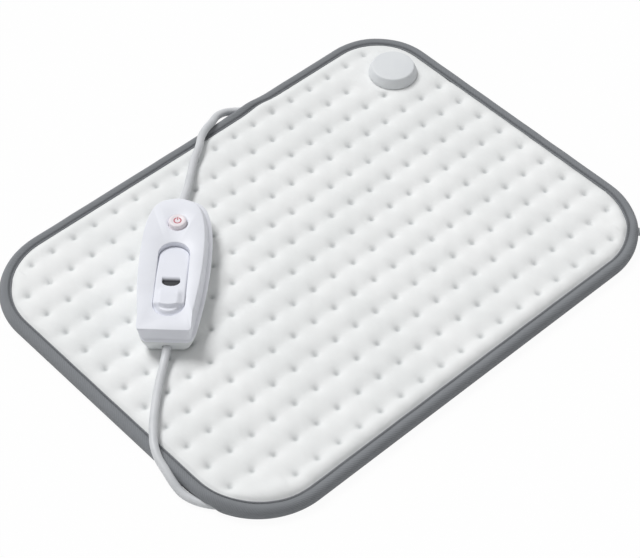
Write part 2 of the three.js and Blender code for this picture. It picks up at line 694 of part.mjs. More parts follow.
// Coupling: a domed cap above the pad, screwed through the covers to a flat base below
const capFoot = QUILT_CREST_HEIGHT + GAP;
const capTop = capFoot + CAP_HEIGHT;
const screwPlaces = Array.from({ length: COUPLING_SCREWS }, (_, k) => {
  const angle = (2 * Math.PI * k) / COUPLING_SCREWS;
  const radius = COUPLING_SCREW_CIRCLE / 2;
  return [couplingX + Math.cos(angle) * radius, couplingY + Math.sin(angle) * radius];
});
const couplingScrewTip = capTop - CAP_WALL - 2 * GAP;

function couplingCap() {
  const rim = CAP_DIAMETER / 2;
  const face = CAP_FACE_DIAMETER / 2;
  const shell = turned([
    [0, capTop - CAP_WALL], [face - CAP_WALL, capTop - CAP_WALL], [rim - CAP_WALL, capFoot + CAP_RIM_HEIGHT],
    [rim - CAP_WALL, capFoot], [rim, capFoot], [rim, capFoot + CAP_RIM_HEIGHT],
    [rim - CAP_EDGE_ROUND, capFoot + CAP_RIM_HEIGHT + CAP_EDGE_ROUND], [face, capTop - CAP_EDGE_ROUND],
    [face - CAP_EDGE_ROUND, capTop], [0, capTop],
  ], couplingX, couplingY, ROUND_SIDES + SMALL_SIDES);
  const bosses = screwPlaces.map(([x, y]) => drum(x, y, capFoot, capTop - CAP_WALL / 2, CAP_BOSS_DIAMETER));
  const holes = screwPlaces.map(([x, y]) => drum(
    x, y, 0, couplingScrewTip + GAP, COUPLING_SCREW_DIAMETER + 2 * GAP));
  return cut(join(shell, ...bosses), ...holes);
}

function couplingBase() {
  const cup = cut(
    drum(couplingX, couplingY, couplingFloor, couplingBaseTop, BASE_DIAMETER, ROUND_SIDES),
    drum(couplingX, couplingY, couplingFloor + BASE_FLOOR, 2 * couplingBaseTop,
      BASE_DIAMETER - 2 * BASE_WALL, ROUND_SIDES),
  );
  const pillars = screwPlaces.map(([x, y]) => drum(
    x, y, couplingFloor, couplingBaseTop, COUPLING_PILLAR_DIAMETER));
  const holes = screwPlaces.map(([x, y]) => drum(
    x, y, -OVERRUN, 2 * couplingBaseTop, COUPLING_SCREW_DIAMETER + 2 * GAP));
  const sinks = screwPlaces.map(([x, y]) => drum(
    x, y, -OVERRUN, couplingFloor + COUPLING_HEAD_HEIGHT + 2 * GAP, COUPLING_HEAD_DIAMETER + 2 * GAP));
  const cordSlot = block(
    couplingX - BASE_DIAMETER, couplingX - BASE_DIAMETER / 4,
    couplingY - CORD_DIAMETER / 2 - GAP, couplingY + CORD_DIAMETER / 2 + GAP,
    COUPLING_CORD_HEIGHT - CORD_DIAMETER / 2 - GAP, 2 * couplingBaseTop,
  );
  const wireSlot = block(
    couplingX - WIRE_DIAMETER, couplingX + WIRE_TAIL_SPACING + WIRE_DIAMETER,
    couplingY - BASE_DIAMETER, couplingY - COUPLING_SCREW_CIRCLE / 2,
    wireHeight - WIRE_DIAMETER / 2 - GAP, 2 * couplingBaseTop,
  );
  return cut(join(cup, ...pillars), ...holes, ...sinks, cordSlot, wireSlot);
}

function screw(x, y, headLow, headHigh, tip, headDiameter, diameter) {
  const head = drum(x, y, Math.min(headLow, headHigh), Math.max(headLow, headHigh), headDiameter);
  const shank = drum(x, y, Math.min(headLow, tip), Math.max(headHigh, tip), diameter, SMALL_SIDES);
  return join(head, shank);
}

add(object, 'coupling_cap', surface(couplingCap()), 'coupling');
add(object, 'coupling_base', surface(couplingBase()), 'coupling');
screwPlaces.forEach(([x, y], k) => {
  const headLow = couplingFloor + GAP;
  const body = screw(x, y, headLow, headLow + COUPLING_HEAD_HEIGHT, couplingScrewTip,
    COUPLING_HEAD_DIAMETER, COUPLING_SCREW_DIAMETER);
  add(object, `coupling_screw_${k + 1}`, surface(body), 'steel');
});

const terminalLow = couplingFloor + BASE_FLOOR + GAP;
add(object, 'coupling_terminal', surface(block(
  couplingX - TERMINAL_BACK, couplingX + TERMINAL_NOSE,
  couplingY - TERMINAL_WIDTH / 2, couplingY + TERMINAL_WIDTH / 2, terminalLow, TERMINAL_TOP,
)), 'plug');
const couplingClampX = couplingX - COUPLING_BORE_DIAMETER / 2 + COUPLING_CLAMP_LENGTH / 2;
const couplingClampLow = COUPLING_CORD_HEIGHT + CORD_DIAMETER / 2 + GAP;
add(object, 'coupling_clamp', surface(block(
  couplingClampX, couplingClampX + COUPLING_CLAMP_LENGTH,
  couplingY - COUPLING_CLAMP_WIDTH / 2, couplingY + COUPLING_CLAMP_WIDTH / 2,
  couplingClampLow, couplingClampLow + COUPLING_CLAMP_HEIGHT,
)), 'steel');

function taperedSleeve(lowX, highX, y, z, lowDiameter, highDiameter, bore) {
  const geometry = new THREE.CylinderGeometry(highDiameter / 2, lowDiameter / 2, highX - lowX, SMALL_SIDES);
  geometry.rotateZ(-Math.PI / 2);
  geometry.translate((lowX + highX) / 2, y, z);
  return cut(solid(geometry), drumAlongX(lowX - OVERRUN, highX + OVERRUN, y, z, bore));
}

const cordBore = CORD_DIAMETER + 2 * GAP;
add(object, 'lead_relief', surface(taperedSleeve(
  reliefEndX, couplingX - BASE_DIAMETER / 2 - GAP, couplingY, COUPLING_CORD_HEIGHT,
  RELIEF_TIP_DIAMETER, RELIEF_DIAMETER, cordBore,
)), 'cord');

// Hand control. S runs along it towards the nose, T across it, and heights are above the pad
const OUTLINE_STATION_SHARES = [
  1, 0.991, 0.968, 0.93, 0.872, 0.796, 0.697, 0.582, 0.46, 0.338, 0.216, 0.109, 0.045, 0.012, 0];
const OUTLINE_WIDTH_SHARES = [
  0, 0.23, 0.53, 0.706, 0.826, 0.921, 0.979, 1, 0.994, 0.955, 0.891, 0.812, 0.745, 0.66, 0.54];

function outlineRing(height, sideInset, noseInset, tailInset) {
  const length = CONTROL_NOSE + CONTROL_TAIL;
  const half = OUTLINE_STATION_SHARES.map((share, k) => {
    const s = share * length - CONTROL_TAIL;
    const reach = s > 0 ? 1 - noseInset / CONTROL_NOSE : 1 - tailInset / CONTROL_TAIL;
    const breadth = 1 - (2 * sideInset) / CONTROL_WIDTH;
    return [s * reach, (OUTLINE_WIDTH_SHARES[k] * breadth * CONTROL_WIDTH) / 2];
  });
  const left = half.map(([s, t]) => new THREE.Vector3(s, t, height));
  const right = half.slice(1).reverse().map(([s, t]) => new THREE.Vector3(s, -t, height));
  return [...left, ...right];
}

const rocker = {
  tail: ROCKER_S - WELL_LENGTH / 2 + RUNNING_GAP,
  nose: ROCKER_S + WELL_LENGTH / 2 - RUNNING_GAP,
  low: CONTROL_HEIGHT - ROCKER_UNDERSIDE_DEPTH,
  axis: CONTROL_HEIGHT - ROCKER_AXIS_DEPTH,
};
const faceUnderside = CONTROL_HEIGHT - CONTROL_WALL;
const shellScrewPlaces = [
  [NOSE_SCREW_S, NOSE_SCREW_T], [NOSE_SCREW_S, -NOSE_SCREW_T],
  [TAIL_SCREW_S, TAIL_SCREW_T], [TAIL_SCREW_S, -TAIL_SCREW_T],
];
const shellScrewTip = faceUnderside - 2 * GAP - CONTROL_WALL;
const shellHeadTop = SHELL_HEAD_HEIGHT + GAP;

// Levels of the shells: share of the height, then the shares of the side, nose and tail insets
const TOP_LEVEL_SHARES = [[0.83, 0.44, 0.33, 0.38], [0.955, 0.72, 0.67, 0.6], [1, 1, 1, 1]];
const BOTTOM_LEVEL_SHARES = [[0, 1, 1, 1], [0.1, 0.74, 0.75, 0.73], [0.5, 0.3, 0.32, 0.32], [1, 0, 0, 0]];

function shellRings(shares, low, high, insets, wall) {
  return shares.map(([heightShare, ...insetShares]) => {
    const [side, nose, tail] = insets.map((inset, k) => inset * insetShares[k] + wall);
    return outlineRing(low + heightShare * (high - low), side, nose, tail);
  });
}

function topShell() {
  const insets = [CONTROL_FACE_INSET, CONTROL_NOSE_INSET, CONTROL_TAIL_INSET];
  const wall = CONTROL_WALL;
  const levels = TOP_LEVEL_SHARES;
  const seam = outlineRing(CONTROL_SEAM_HEIGHT, 0, 0, 0);
  const body = solid(loft([seam, ...shellRings(levels, 0, CONTROL_HEIGHT, insets, 0)]));
  const ceiling = insets.map((inset) => inset + wall / 2);
  const hollow = solid(loft([
    outlineRing(CONTROL_SEAM_HEIGHT - OVERRUN, wall, wall, wall),
    outlineRing(CONTROL_SEAM_HEIGHT, wall, wall, wall),
    ...shellRings(levels.slice(0, 1), 0, CONTROL_HEIGHT, insets, wall),
    outlineRing(faceUnderside, ...ceiling),
  ]));
  const skirt = prism(stadium(ROCKER_S, WELL_LENGTH + 2 * WELL_SKIRT_WALL, WELL_WIDTH + 2 * WELL_SKIRT_WALL),
    faceUnderside - WELL_SKIRT_DEPTH, CONTROL_HEIGHT - wall / 2);
  const ears = [1, -1].map((side) => {
    const near = side * (WELL_WIDTH / 2);
    const far = side * (WELL_WIDTH / 2 + ROCKER_EAR_WALL);
    return block(ROCKER_S - ROCKER_EAR_LENGTH / 2, ROCKER_S + ROCKER_EAR_LENGTH / 2,
      Math.min(near, far), Math.max(near, far), rocker.axis - ROCKER_PIN_DIAMETER, CONTROL_HEIGHT - wall / 2);
  });
  const bosses = shellScrewPlaces.map(([s, t]) => drum(
    s, t, CONTROL_SEAM_HEIGHT + GAP, CONTROL_HEIGHT - wall / 2, TOP_BOSS_DIAMETER));
  const pilots = shellScrewPlaces.map(([s, t]) => drum(
    s, t, 0, shellScrewTip + GAP, SHELL_SCREW_DIAMETER + 2 * GAP));
  const well = prism(stadium(ROCKER_S, WELL_LENGTH, WELL_WIDTH), 0, 2 * CONTROL_HEIGHT);
  const boreReach = WELL_WIDTH / 2 + ROCKER_EAR_WALL + OVERRUN;
  const pinBore = drumAlongY(-boreReach, boreReach, ROCKER_S, rocker.axis, ROCKER_PIN_DIAMETER + 2 * GAP);
  const buttonHole = drum(POWER_S, 0, 0, 2 * CONTROL_HEIGHT, POWER_DIAMETER + 2 * GAP, ROUND_SIDES);
  const dishRadius = POWER_DIAMETER / 2 + GAP + POWER_DISH_WIDTH;
  const dish = turned([
    [0, CONTROL_HEIGHT - POWER_DISH_WIDTH], [POWER_DIAMETER / 2 + GAP, CONTROL_HEIGHT - POWER_DISH_WIDTH],
    [dishRadius, CONTROL_HEIGHT], [dishRadius, CONTROL_HEIGHT + OVERRUN], [0, CONTROL_HEIGHT + OVERRUN],
  ], POWER_S, 0);
  return cut(join(cut(body, hollow), skirt, ...ears, ...bosses), well, pinBore, buttonHole, dish, ...pilots);
}

const noseClampS = CONTROL_NOSE - CLAMP_INSET;
const tailClampS = CLAMP_INSET - CONTROL_TAIL;
const clampLow = CORD_ENTRY_HEIGHT + CORD_DIAMETER / 2 + GAP;
const clampPlaces = [noseClampS, tailClampS].flatMap((s) => [1, -1].map(
  (side) => [s, side * (CLAMP_WIDTH / 2 - CLAMP_POST_DIAMETER / 2)]));
const standoffPlaces = [BOARD_TAIL + STANDOFF_INSET, BOARD_NOSE - STANDOFF_INSET].flatMap(
  (s) => [1, -1].map((side) => [s, side * (BOARD_WIDTH / 2 - STANDOFF_INSET / 2)]));

function bottomShell() {
  const seam = CONTROL_SEAM_HEIGHT - GAP;
  const wall = CONTROL_WALL;
  const insets = [CONTROL_KEEL_INSET, CONTROL_KEEL_NOSE, CONTROL_KEEL_TAIL];
  const body = solid(loft(shellRings(BOTTOM_LEVEL_SHARES, 0, seam, insets, 0)));
  const hollow = solid(loft([
    ...shellRings(BOTTOM_LEVEL_SHARES.slice(1), wall, seam, insets, wall),
    outlineRing(seam + OVERRUN, wall, wall, wall),
  ]));
  const bosses = shellScrewPlaces.map(([s, t]) => drum(s, t, wall / 2, seam, SHELL_BOSS_DIAMETER));
  const posts = clampPlaces.map(([s, t]) => drum(s, t, wall / 2, clampLow - GAP, CLAMP_POST_DIAMETER));
  const standoffs = standoffPlaces.map(([s, t]) => drum(
    s, t, wall / 2, BOARD_UNDERSIDE - GAP, STANDOFF_DIAMETER));
  const screwHoles = shellScrewPlaces.map(([s, t]) => drum(
    s, t, -OVERRUN, 2 * seam, SHELL_SCREW_DIAMETER + 2 * GAP));
  const sinks = shellScrewPlaces.map(([s, t]) => drum(
    s, t, -OVERRUN, shellHeadTop + GAP, SHELL_HEAD_DIAMETER + 2 * GAP));
  const postHoles = clampPlaces.map(([s, t]) => drum(
    s, t, wall + GAP, 2 * seam, CLAMP_SCREW_DIAMETER + 2 * GAP));
  const cordHoles = [
    drumAlongX(noseClampS, CONTROL_NOSE + OVERRUN, 0, CORD_ENTRY_HEIGHT, cordBore, SMALL_SIDES),
    drumAlongX(-CONTROL_TAIL - OVERRUN, tailClampS, 0, CORD_ENTRY_HEIGHT, cordBore, SMALL_SIDES),
  ];
  const parts = join(cut(body, hollow), ...bosses, ...posts, ...standoffs);
  return cut(parts, ...screwHoles, ...sinks, ...postHoles, ...cordHoles);
}

add(control, 'control_top_shell', surface(topShell()), 'shell');
add(control, 'control_bottom_shell', surface(bottomShell()), 'shell');
shellScrewPlaces.forEach(([s, t], k) => {
  const body = screw(s, t, GAP, shellHeadTop, shellScrewTip, SHELL_HEAD_DIAMETER, SHELL_SCREW_DIAMETER);
  add(control, `shell_screw_${k + 1}`, surface(body), 'steel');
});

// Power button, sprung by a silicone dome on the board
const flangeTop = faceUnderside - GAP;
const stemLow = flangeTop - POWER_FLANGE_HEIGHT - POWER_STEM_LENGTH;
const boardTop = BOARD_UNDERSIDE + BOARD_THICKNESS;

function powerButton() {
  const radius = POWER_DIAMETER / 2;
  const flangeRadius = radius + POWER_FLANGE_WIDTH;
  const flangeLow = flangeTop - POWER_FLANGE_HEIGHT;
  const stemRadius = POWER_STEM_DIAMETER / 2;
  const capRadiusShares = [1, 0.94, 0.8, 0.45, 0];
  const capRiseShares = [0.5, 0.8, 1, 0.9, 0.87];
  return turned([
    [0, stemLow], [stemRadius, stemLow], [stemRadius, flangeLow], [flangeRadius, flangeLow],
    [flangeRadius, flangeTop], [radius, flangeTop],
    ...capRadiusShares.map((share, k) => [share * radius, CONTROL_HEIGHT + capRiseShares[k] * POWER_PROUD]),
  ], POWER_S, 0);
}

add(control, 'power_button', surface(powerButton()), 'button');
add(control, 'power_dome', surface(drum(
  POWER_S, 0, boardTop + GAP, stemLow - GAP, DOME_DIAMETER, SMALL_SIDES)), 'rubber');

// Temperature rocker on a cross pin: its nose end lies sunk in the well and its tail end stands proud
function rockerProfile() {
  const face = CONTROL_HEIGHT;
  const length = rocker.nose - rocker.tail;
  const stationShares = [1, 0.985, 0.93, 0.8, 0.69, 0.58, 0.42, 0.26, 0.14, 0.06, 0.01, 0];
  const riseShares = [-1, -0.92, -0.86, -0.6, -0.35, -0.05, 0.3, 0.72, 0.96, 0.96, 0.62, 0.35];
  const shape = new THREE.Shape();
  shape.moveTo(rocker.tail, rocker.low);
  shape.lineTo(rocker.nose, rocker.low);
  stationShares.forEach((share, k) => {
    const rise = riseShares[k] * (riseShares[k] < 0 ? ROCKER_SUNK : ROCKER_PROUD);
    shape.lineTo(rocker.tail + share * length, face + rise);
  });
  shape.closePath();
  return shape;
}

function alongT(shape, width) {
  const geometry = new THREE.ExtrudeGeometry(shape, { depth: width, bevelEnabled: false });
  geometry.translate(0, 0, -width / 2);
  geometry.rotateX(Math.PI / 2);
  return solid(geometry);
}

const lensLow = CONTROL_HEIGHT - PIT_DEPTH;

function temperatureRocker() {
  const width = WELL_WIDTH - 2 * RUNNING_GAP;
  const outline = prism(stadium(ROCKER_S, rocker.nose - rocker.tail, width), 0, 2 * CONTROL_HEIGHT);
  const body = alongT(rockerProfile(), width + OVERRUN).intersect(outline);
  const inner = width / 2 - ROCKER_WALL;
  const endInner = inner - ROCKER_END_INSET;
  const hollows = [1, -1].flatMap((side) => {
    const spans = [
      [ROCKER_HUB_LENGTH / 2, ROCKER_FOOT_OFFSET - ROCKER_FOOT_LENGTH / 2],
      [ROCKER_FOOT_OFFSET + ROCKER_FOOT_LENGTH / 2, WELL_LENGTH / 2 - 2 * ROCKER_WALL],
    ];
    return spans.map(([from, to], k) => {
      const reach = k === 0 ? inner : endInner;
      const ends = [ROCKER_S + side * from, ROCKER_S + side * to];
      const roof = side > 0 ? CONTROL_HEIGHT - ROCKER_SUNK - ROCKER_ROOF : lensLow - ROCKER_PIT_FLOOR;
      return block(Math.min(...ends), Math.max(...ends), -reach, reach, 0, roof);
    });
  });
  const bore = drumAlongY(-WELL_WIDTH, WELL_WIDTH, ROCKER_S, rocker.axis, ROCKER_PIN_DIAMETER + 2 * GAP);
  const pitCentre = ROCKER_S + PIT_OFFSET;
  const pit = prism(stadiumAcross(pitCentre, PIT_LENGTH, PIT_WIDTH), lensLow, 2 * CONTROL_HEIGHT);
  return cut(body, ...hollows, bore, pit);
}

function stadiumAcross(centreS, length, width) {
  const shape = new THREE.Shape();
  shape.absellipse(centreS, 0, length / 2, width / 2, 0, Math.PI * 2);
  return shape;
}

add(control, 'temperature_rocker', surface(temperatureRocker()), 'button');
add(control, 'level_lens', surface(prism(
  stadiumAcross(ROCKER_S + PIT_OFFSET, PIT_LENGTH - 2 * GAP, PIT_WIDTH - 2 * GAP),
  lensLow + GAP, lensLow + GAP + LENS_THICKNESS,
)), 'lens');
const pinReach = WELL_WIDTH / 2 + ROCKER_EAR_WALL - GAP;
add(control, 'rocker_pin', surface(drumAlongY(
  -pinReach, pinReach, ROCKER_S, rocker.axis, ROCKER_PIN_DIAMETER)), 'steel');
[['hotter_dome', 1], ['cooler_dome', -1]].forEach(([name, side]) => {
  add(control, name, surface(drum(
    ROCKER_S + side * ROCKER_FOOT_OFFSET, 0, boardTop + GAP, rocker.low - GAP, DOME_DIAMETER)), 'rubber');
});

// Board with its parts hung below it, and the two cord clamps
add(control, 'circuit_board', surface(block(
  BOARD_TAIL, BOARD_NOSE, -BOARD_WIDTH / 2, BOARD_WIDTH / 2, BOARD_UNDERSIDE, boardTop)), 'board');

const partsTop = BOARD_UNDERSIDE - GAP;

function hung(s, t, [length, width, height]) {
  const [lowS, lowT] = [s - length / 2, t - width / 2];
  return surface(block(lowS, lowS + length, lowT, lowT + width, partsTop - height, partsTop));
}

function hungDrum(s, t, length, diameter) {
  return surface(drumAlongX(s - length / 2, s + length / 2, t, partsTop - diameter / 2, diameter));
}

add(control, 'mains_terminal', hung(MAINS_TERMINAL_S, 0, BLOCK_SIZE), 'plug');
add(control, 'pad_terminal', hung(PAD_TERMINAL_S, 0, BLOCK_SIZE), 'plug');
add(control, 'relay', hung(RELAY_S, PART_ROW_T, RELAY_SIZE), 'component');
add(control, 'suppression_capacitor', hung(RELAY_S, -PART_ROW_T, CAPACITOR_SIZE), 'component');
add(control, 'control_chip', hung(CHIP_S, 0, CHIP_SIZE), 'component');
add(control, 'reservoir_capacitor', hungDrum(CAN_S, PART_ROW_T, CAN_LENGTH, CAN_DIAMETER), 'component');
add(control, 'fuse', hungDrum(FUSE_S, -PART_ROW_T, FUSE_LENGTH, FUSE_DIAMETER), 'brass');

[['pad_clamp', noseClampS], ['mains_clamp', tailClampS]].forEach(([name, s]) => {
  const bar = block(s - CLAMP_LENGTH / 2, s + CLAMP_LENGTH / 2, -CLAMP_WIDTH / 2, CLAMP_WIDTH / 2,
    clampLow, clampLow + CLAMP_THICKNESS);
  const holes = clampPlaces.filter((place) => place[0] === s).map(([, t]) => drum(
    s, t, 0, 2 * CONTROL_SEAM_HEIGHT, CLAMP_SCREW_DIAMETER + 2 * GAP));
  add(control, name, surface(cut(bar, ...holes)), 'plug');
});
clampPlaces.forEach(([s, t], k) => {
  const headLow = clampLow + CLAMP_THICKNESS + GAP;
  const body = screw(s, t, headLow, headLow + CLAMP_HEAD_HEIGHT, CONTROL_WALL + 2 * GAP,
    CLAMP_HEAD_DIAMETER, CLAMP_SCREW_DIAMETER);
  add(control, `clamp_screw_${k + 1}`, surface(body), 'steel');
});

// Free cords. Each starts or ends inside the hand control, on the control's own axis
function onControlAxis(s) {
  const turn = THREE.MathUtils.degToRad(CONTROL_TURN_DEGREES);
  return [controlX + s * Math.cos(turn), controlY + s * Math.sin(turn), controlBase + CORD_ENTRY_HEIGHT];
}

const leadRoute = [
  [couplingX - BASE_DIAMETER / 4, couplingY, COUPLING_CORD_HEIGHT],
  [couplingX - BASE_DIAMETER / 2, couplingY, COUPLING_CORD_HEIGHT],
  [reliefEndX + RELIEF_LENGTH / 2, couplingY, COUPLING_CORD_HEIGHT],
  [reliefEndX, couplingY, COUPLING_CORD_HEIGHT],
  ...LEAD_UNDER_PAD,
  ...LEAD_OVER_PAD,
  onControlAxis(CONTROL_NOSE + CORD_DIAMETER),
  onControlAxis(CONTROL_NOSE),
  onControlAxis(CONTROL_NOSE - CORD_INSIDE / 2),
  onControlAxis(CONTROL_NOSE - CORD_INSIDE),
];

const coilLow = TIE_THICKNESS + 2 * GAP + CORD_DIAMETER / 2;
const coilHigh = coilLow + COIL_LAYER_STEP;
const coilEntryX = coilX - COIL_OUTER_RADIUS;
const mainsRoute = [
  onControlAxis(CORD_INSIDE - CONTROL_TAIL),
  onControlAxis(CORD_INSIDE / 2 - CONTROL_TAIL),
  onControlAxis(-CONTROL_TAIL),
  ...MAINS_OVER_PAD,
  ...MAINS_UNDER_PAD,
  onPad([199.8, -161, 3.4]),
  [coilEntryX, coilY + 3 * CORD_DIAMETER, coilLow],
  [coilEntryX, coilY + CORD_DIAMETER + GAP, coilLow],
];

add(object, 'pad_lead', cordTube(leadRoute), 'cord');
add(object, 'mains_cord', cordTube(mainsRoute), 'cord');

// Coil: it spirals in on the floor, climbs in the half turn where it reverses, and spirals out on top
function coilPoints() {
  const start = THREE.MathUtils.degToRad(COIL_START_DEGREES);
  const count = Math.round(COIL_TURNS * COIL_STEPS);
  const points = [];
  for (let step = 0; step <= count; step += 1) {
    const turns = step / COIL_STEPS;
    const inward = Math.min(turns, COIL_TURNS - turns);
    const radius = COIL_OUTER_RADIUS - inward * COIL_PITCH;
    const climbStart = (COIL_TURNS - CLIMB_TURNS) / 2;
    const climb = THREE.MathUtils.smoothstep(turns, climbStart, climbStart + CLIMB_TURNS);
    const angle = start + turns * 2 * Math.PI;
    points.push(new THREE.Vector3(
      coilX + Math.cos(angle) * radius, coilY + Math.sin(angle) * radius, coilLow + climb * COIL_LAYER_STEP));
  }
  const straight = (angle, side) => new THREE.Vector3(-Math.sin(angle), Math.cos(angle), 0)
    .multiplyScalar(side * CORD_DIAMETER);
  const last = points[points.length - 1];
  points.unshift(points[0].clone().add(straight(start, -1)));
  points.push(last.clone().add(straight(start + COIL_TURNS * 2 * Math.PI, 1)));
  return points;
}

function leastSelfGap(points) {
  const skip = Math.round(COIL_STEPS / 2);
  let least = Infinity;
  for (let a = 0; a < points.length; a += 1) {
    for (let b = a + skip; b < points.length - 1; b += 1) {
      const chord = new THREE.Line3(points[b], points[b + 1]);
      const nearest = chord.closestPointToPoint(points[a], true, new THREE.Vector3());
      least = Math.min(least, nearest.distanceTo(points[a]));
    }
  }
  return least - CORD_DIAMETER;
}

function coilTube(points) {
  const rings = points.map((point, k) => {
    const before = points[Math.max(k - 1, 0)];
    const after = points[Math.min(k + 1, points.length - 1)];
    let along = after.clone().sub(before);
    if (k <= 1) along = points[1].clone().sub(points[0]);
    if (k >= points.length - 2) along = points[points.length - 1].clone().sub(points[points.length - 2]);
    along.normalize();
    const across = new THREE.Vector3(-along.y, along.x, 0).normalize();
    const up = along.clone().cross(across);
    return Array.from({ length: COIL_SIDES }, (_, side) => {
      const angle = ((side + 0.5) * 2 * Math.PI) / COIL_SIDES;
      const radius = CORD_DIAMETER / 2;
      return point.clone().addScaledVector(across, Math.cos(angle) * radius)
        .addScaledVector(up, Math.sin(angle) * radius);
    });
  });
  return loft(rings);
}

const coil = coilPoints();
console.error(`least gap of the coil to itself ${leastSelfGap(coil).toFixed(2)} mm`);
add(object, 'mains_coil', coilTube(coil), 'cord');

// Tie round the coil's bundle
function coilTie() {
  const inner = COIL_OUTER_RADIUS - (COIL_TURNS / 2) * COIL_PITCH - CORD_DIAMETER / 2 - 2 * GAP;
  const outer = COIL_OUTER_RADIUS + CORD_DIAMETER / 2 + 2 * GAP;
  const top = coilHigh + CORD_DIAMETER / 2 + 2 * GAP + TIE_THICKNESS;
  const band = block(inner - TIE_THICKNESS, outer + TIE_THICKNESS, -TIE_WIDTH / 2, TIE_WIDTH / 2, 0, top);
  const bore = block(inner, outer, -TIE_WIDTH, TIE_WIDTH, TIE_THICKNESS, top - TIE_THICKNESS);
  const geometry = surface(cut(band, bore));
  geometry.rotateZ(THREE.MathUtils.degToRad(TIE_DEGREES));
  geometry.translate(coilX, coilY, 0);
  return geometry;
}

add(object, 'coil_tie', coilTie(), 'rubber');

// Plug: a flat two-pin plug lying beside the coil at the end of the cord's tail
const coilEnd = coil[coil.length - 1];
const plugHeight = PLUG_THICKNESS / 2 + GAP;
const bootTipX = coilEnd.x + PLUG_TAIL;
const bootEndX = bootTipX + PLUG_BOOT_LENGTH;
const tailRoute = [
  [coilEnd.x + GAP, coilEnd.y, coilEnd.z],
  [coilEnd.x + CORD_DIAMETER, coilEnd.y, coilEnd.z],
  [coilEnd.x + PLUG_TAIL / 2, coilEnd.y, (coilEnd.z + plugHeight) / 2],
  [bootTipX, coilEnd.y, plugHeight],
  [bootTipX + PLUG_BOOT_LENGTH / 2, coilEnd.y, plugHeight],
  [bootEndX - GAP, coilEnd.y, plugHeight],
];
add(object, 'plug_tail', cordTube(tailRoute), 'cord');
add(object, 'plug_boot', surface(taperedSleeve(
  bootTipX, bootEndX, coilEnd.y, plugHeight, PLUG_BOOT_TIP_DIAMETER, PLUG_BOOT_DIAMETER, cordBore)), 'plug');

function plugBody() {
  const stationShares = [0, 0.12, 0.42, 0.8, 0.97, 1];
  const widthShares = [0.42, 0.62, 1, 1, 0.9, 0.74];
  const thicknessShares = [0.82, 0.95, 1, 1, 0.92, 0.78];
  const cornerSteps = 3;
  const rings = stationShares.map((share, k) => {
    const halfY = (widthShares[k] * PLUG_WIDTH) / 2;
    const halfZ = (thicknessShares[k] * PLUG_THICKNESS) / 2;
    const radius = halfZ * 0.7;
    const ring = [];
    [[1, 1], [-1, 1], [-1, -1], [1, -1]].forEach(([signY, signZ], quarter) => {
      for (let step = 0; step <= cornerSteps; step += 1) {
        const angle = (Math.PI / 2) * (quarter + step / cornerSteps);
        ring.push(new THREE.Vector3(
          bootEndX + GAP + share * PLUG_LENGTH,
          coilEnd.y + signY * (halfY - radius) + Math.cos(angle) * radius,
          plugHeight + signZ * (halfZ - radius) + Math.sin(angle) * radius));
      }
    });
    return ring;
  });
  return solid(loft(rings));
}

const plugFace = bootEndX + GAP + PLUG_LENGTH;
const pinPlaces = [1, -1].map((side) => coilEnd.y + (side * PIN_SPACING) / 2);
const pinRoot = plugFace - PIN_DIAMETER;
add(object, 'plug_body', surface(cut(plugBody(), ...pinPlaces.map((y) => drumAlongX(
  pinRoot - GAP, plugFace + OVERRUN, y, plugHeight, PIN_DIAMETER + 2 * GAP)))), 'plug');
pinPlaces.forEach((y, k) => {
  add(object, `plug_pin_${k + 1}`, surface(drumAlongX(
    pinRoot, plugFace + PIN_LENGTH, y, plugHeight, PIN_DIAMETER)), 'brass');
});

export default object;
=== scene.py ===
import math

import bpy
import numpy as np
from mathutils import Matrix, Vector


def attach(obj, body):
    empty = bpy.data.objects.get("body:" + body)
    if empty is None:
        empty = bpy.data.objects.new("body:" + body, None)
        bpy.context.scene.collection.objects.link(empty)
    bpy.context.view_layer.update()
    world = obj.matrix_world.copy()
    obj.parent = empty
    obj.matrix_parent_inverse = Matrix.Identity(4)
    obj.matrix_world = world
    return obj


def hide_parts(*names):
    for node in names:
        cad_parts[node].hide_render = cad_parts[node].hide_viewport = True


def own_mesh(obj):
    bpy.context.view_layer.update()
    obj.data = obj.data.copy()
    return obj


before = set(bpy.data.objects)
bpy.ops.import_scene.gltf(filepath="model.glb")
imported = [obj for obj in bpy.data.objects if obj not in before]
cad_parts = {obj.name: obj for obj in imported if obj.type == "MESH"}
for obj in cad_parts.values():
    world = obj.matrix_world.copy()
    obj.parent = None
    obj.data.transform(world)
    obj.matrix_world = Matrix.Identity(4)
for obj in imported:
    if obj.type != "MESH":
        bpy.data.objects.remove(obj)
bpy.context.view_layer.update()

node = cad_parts
MM = 0.001


# The camera stands in front of the pad's left corner and looks down at it. Its place, its turn and its lens
# were fitted to the pad's four corners in the photograph, whose long side is 640 pixels.
def set_camera():
    """Back direction from azimuth and elevation, then a small roll about it; focal length in pixels to mm."""
    azimuth, elevation, roll = np.radians([-43.078, 48.566, 0.383])
    place = Vector((-0.646055, -0.687784, 1.050233))
    focal_pixels, photo_pixels, sensor_width = 2003.53, 640, 36
    back = Vector((math.sin(azimuth) * math.cos(elevation), -math.cos(azimuth) * math.cos(elevation),
                   math.sin(elevation)))
    camera = bpy.data.cameras.new("camera")
    camera.sensor_width = sensor_width
    camera.lens = focal_pixels * sensor_width / photo_pixels
    camera.clip_start, camera.clip_end = 0.05, 20
    stand = bpy.data.objects.new("camera", camera)
    turn = (-back).to_track_quat("-Z", "Y").to_matrix() @ Matrix.Rotation(roll, 3, "Z")
    stand.matrix_world = Matrix.Translation(place) @ turn.to_4x4()
    bpy.context.scene.collection.objects.link(stand)
    bpy.context.scene.camera = stand


set_camera()


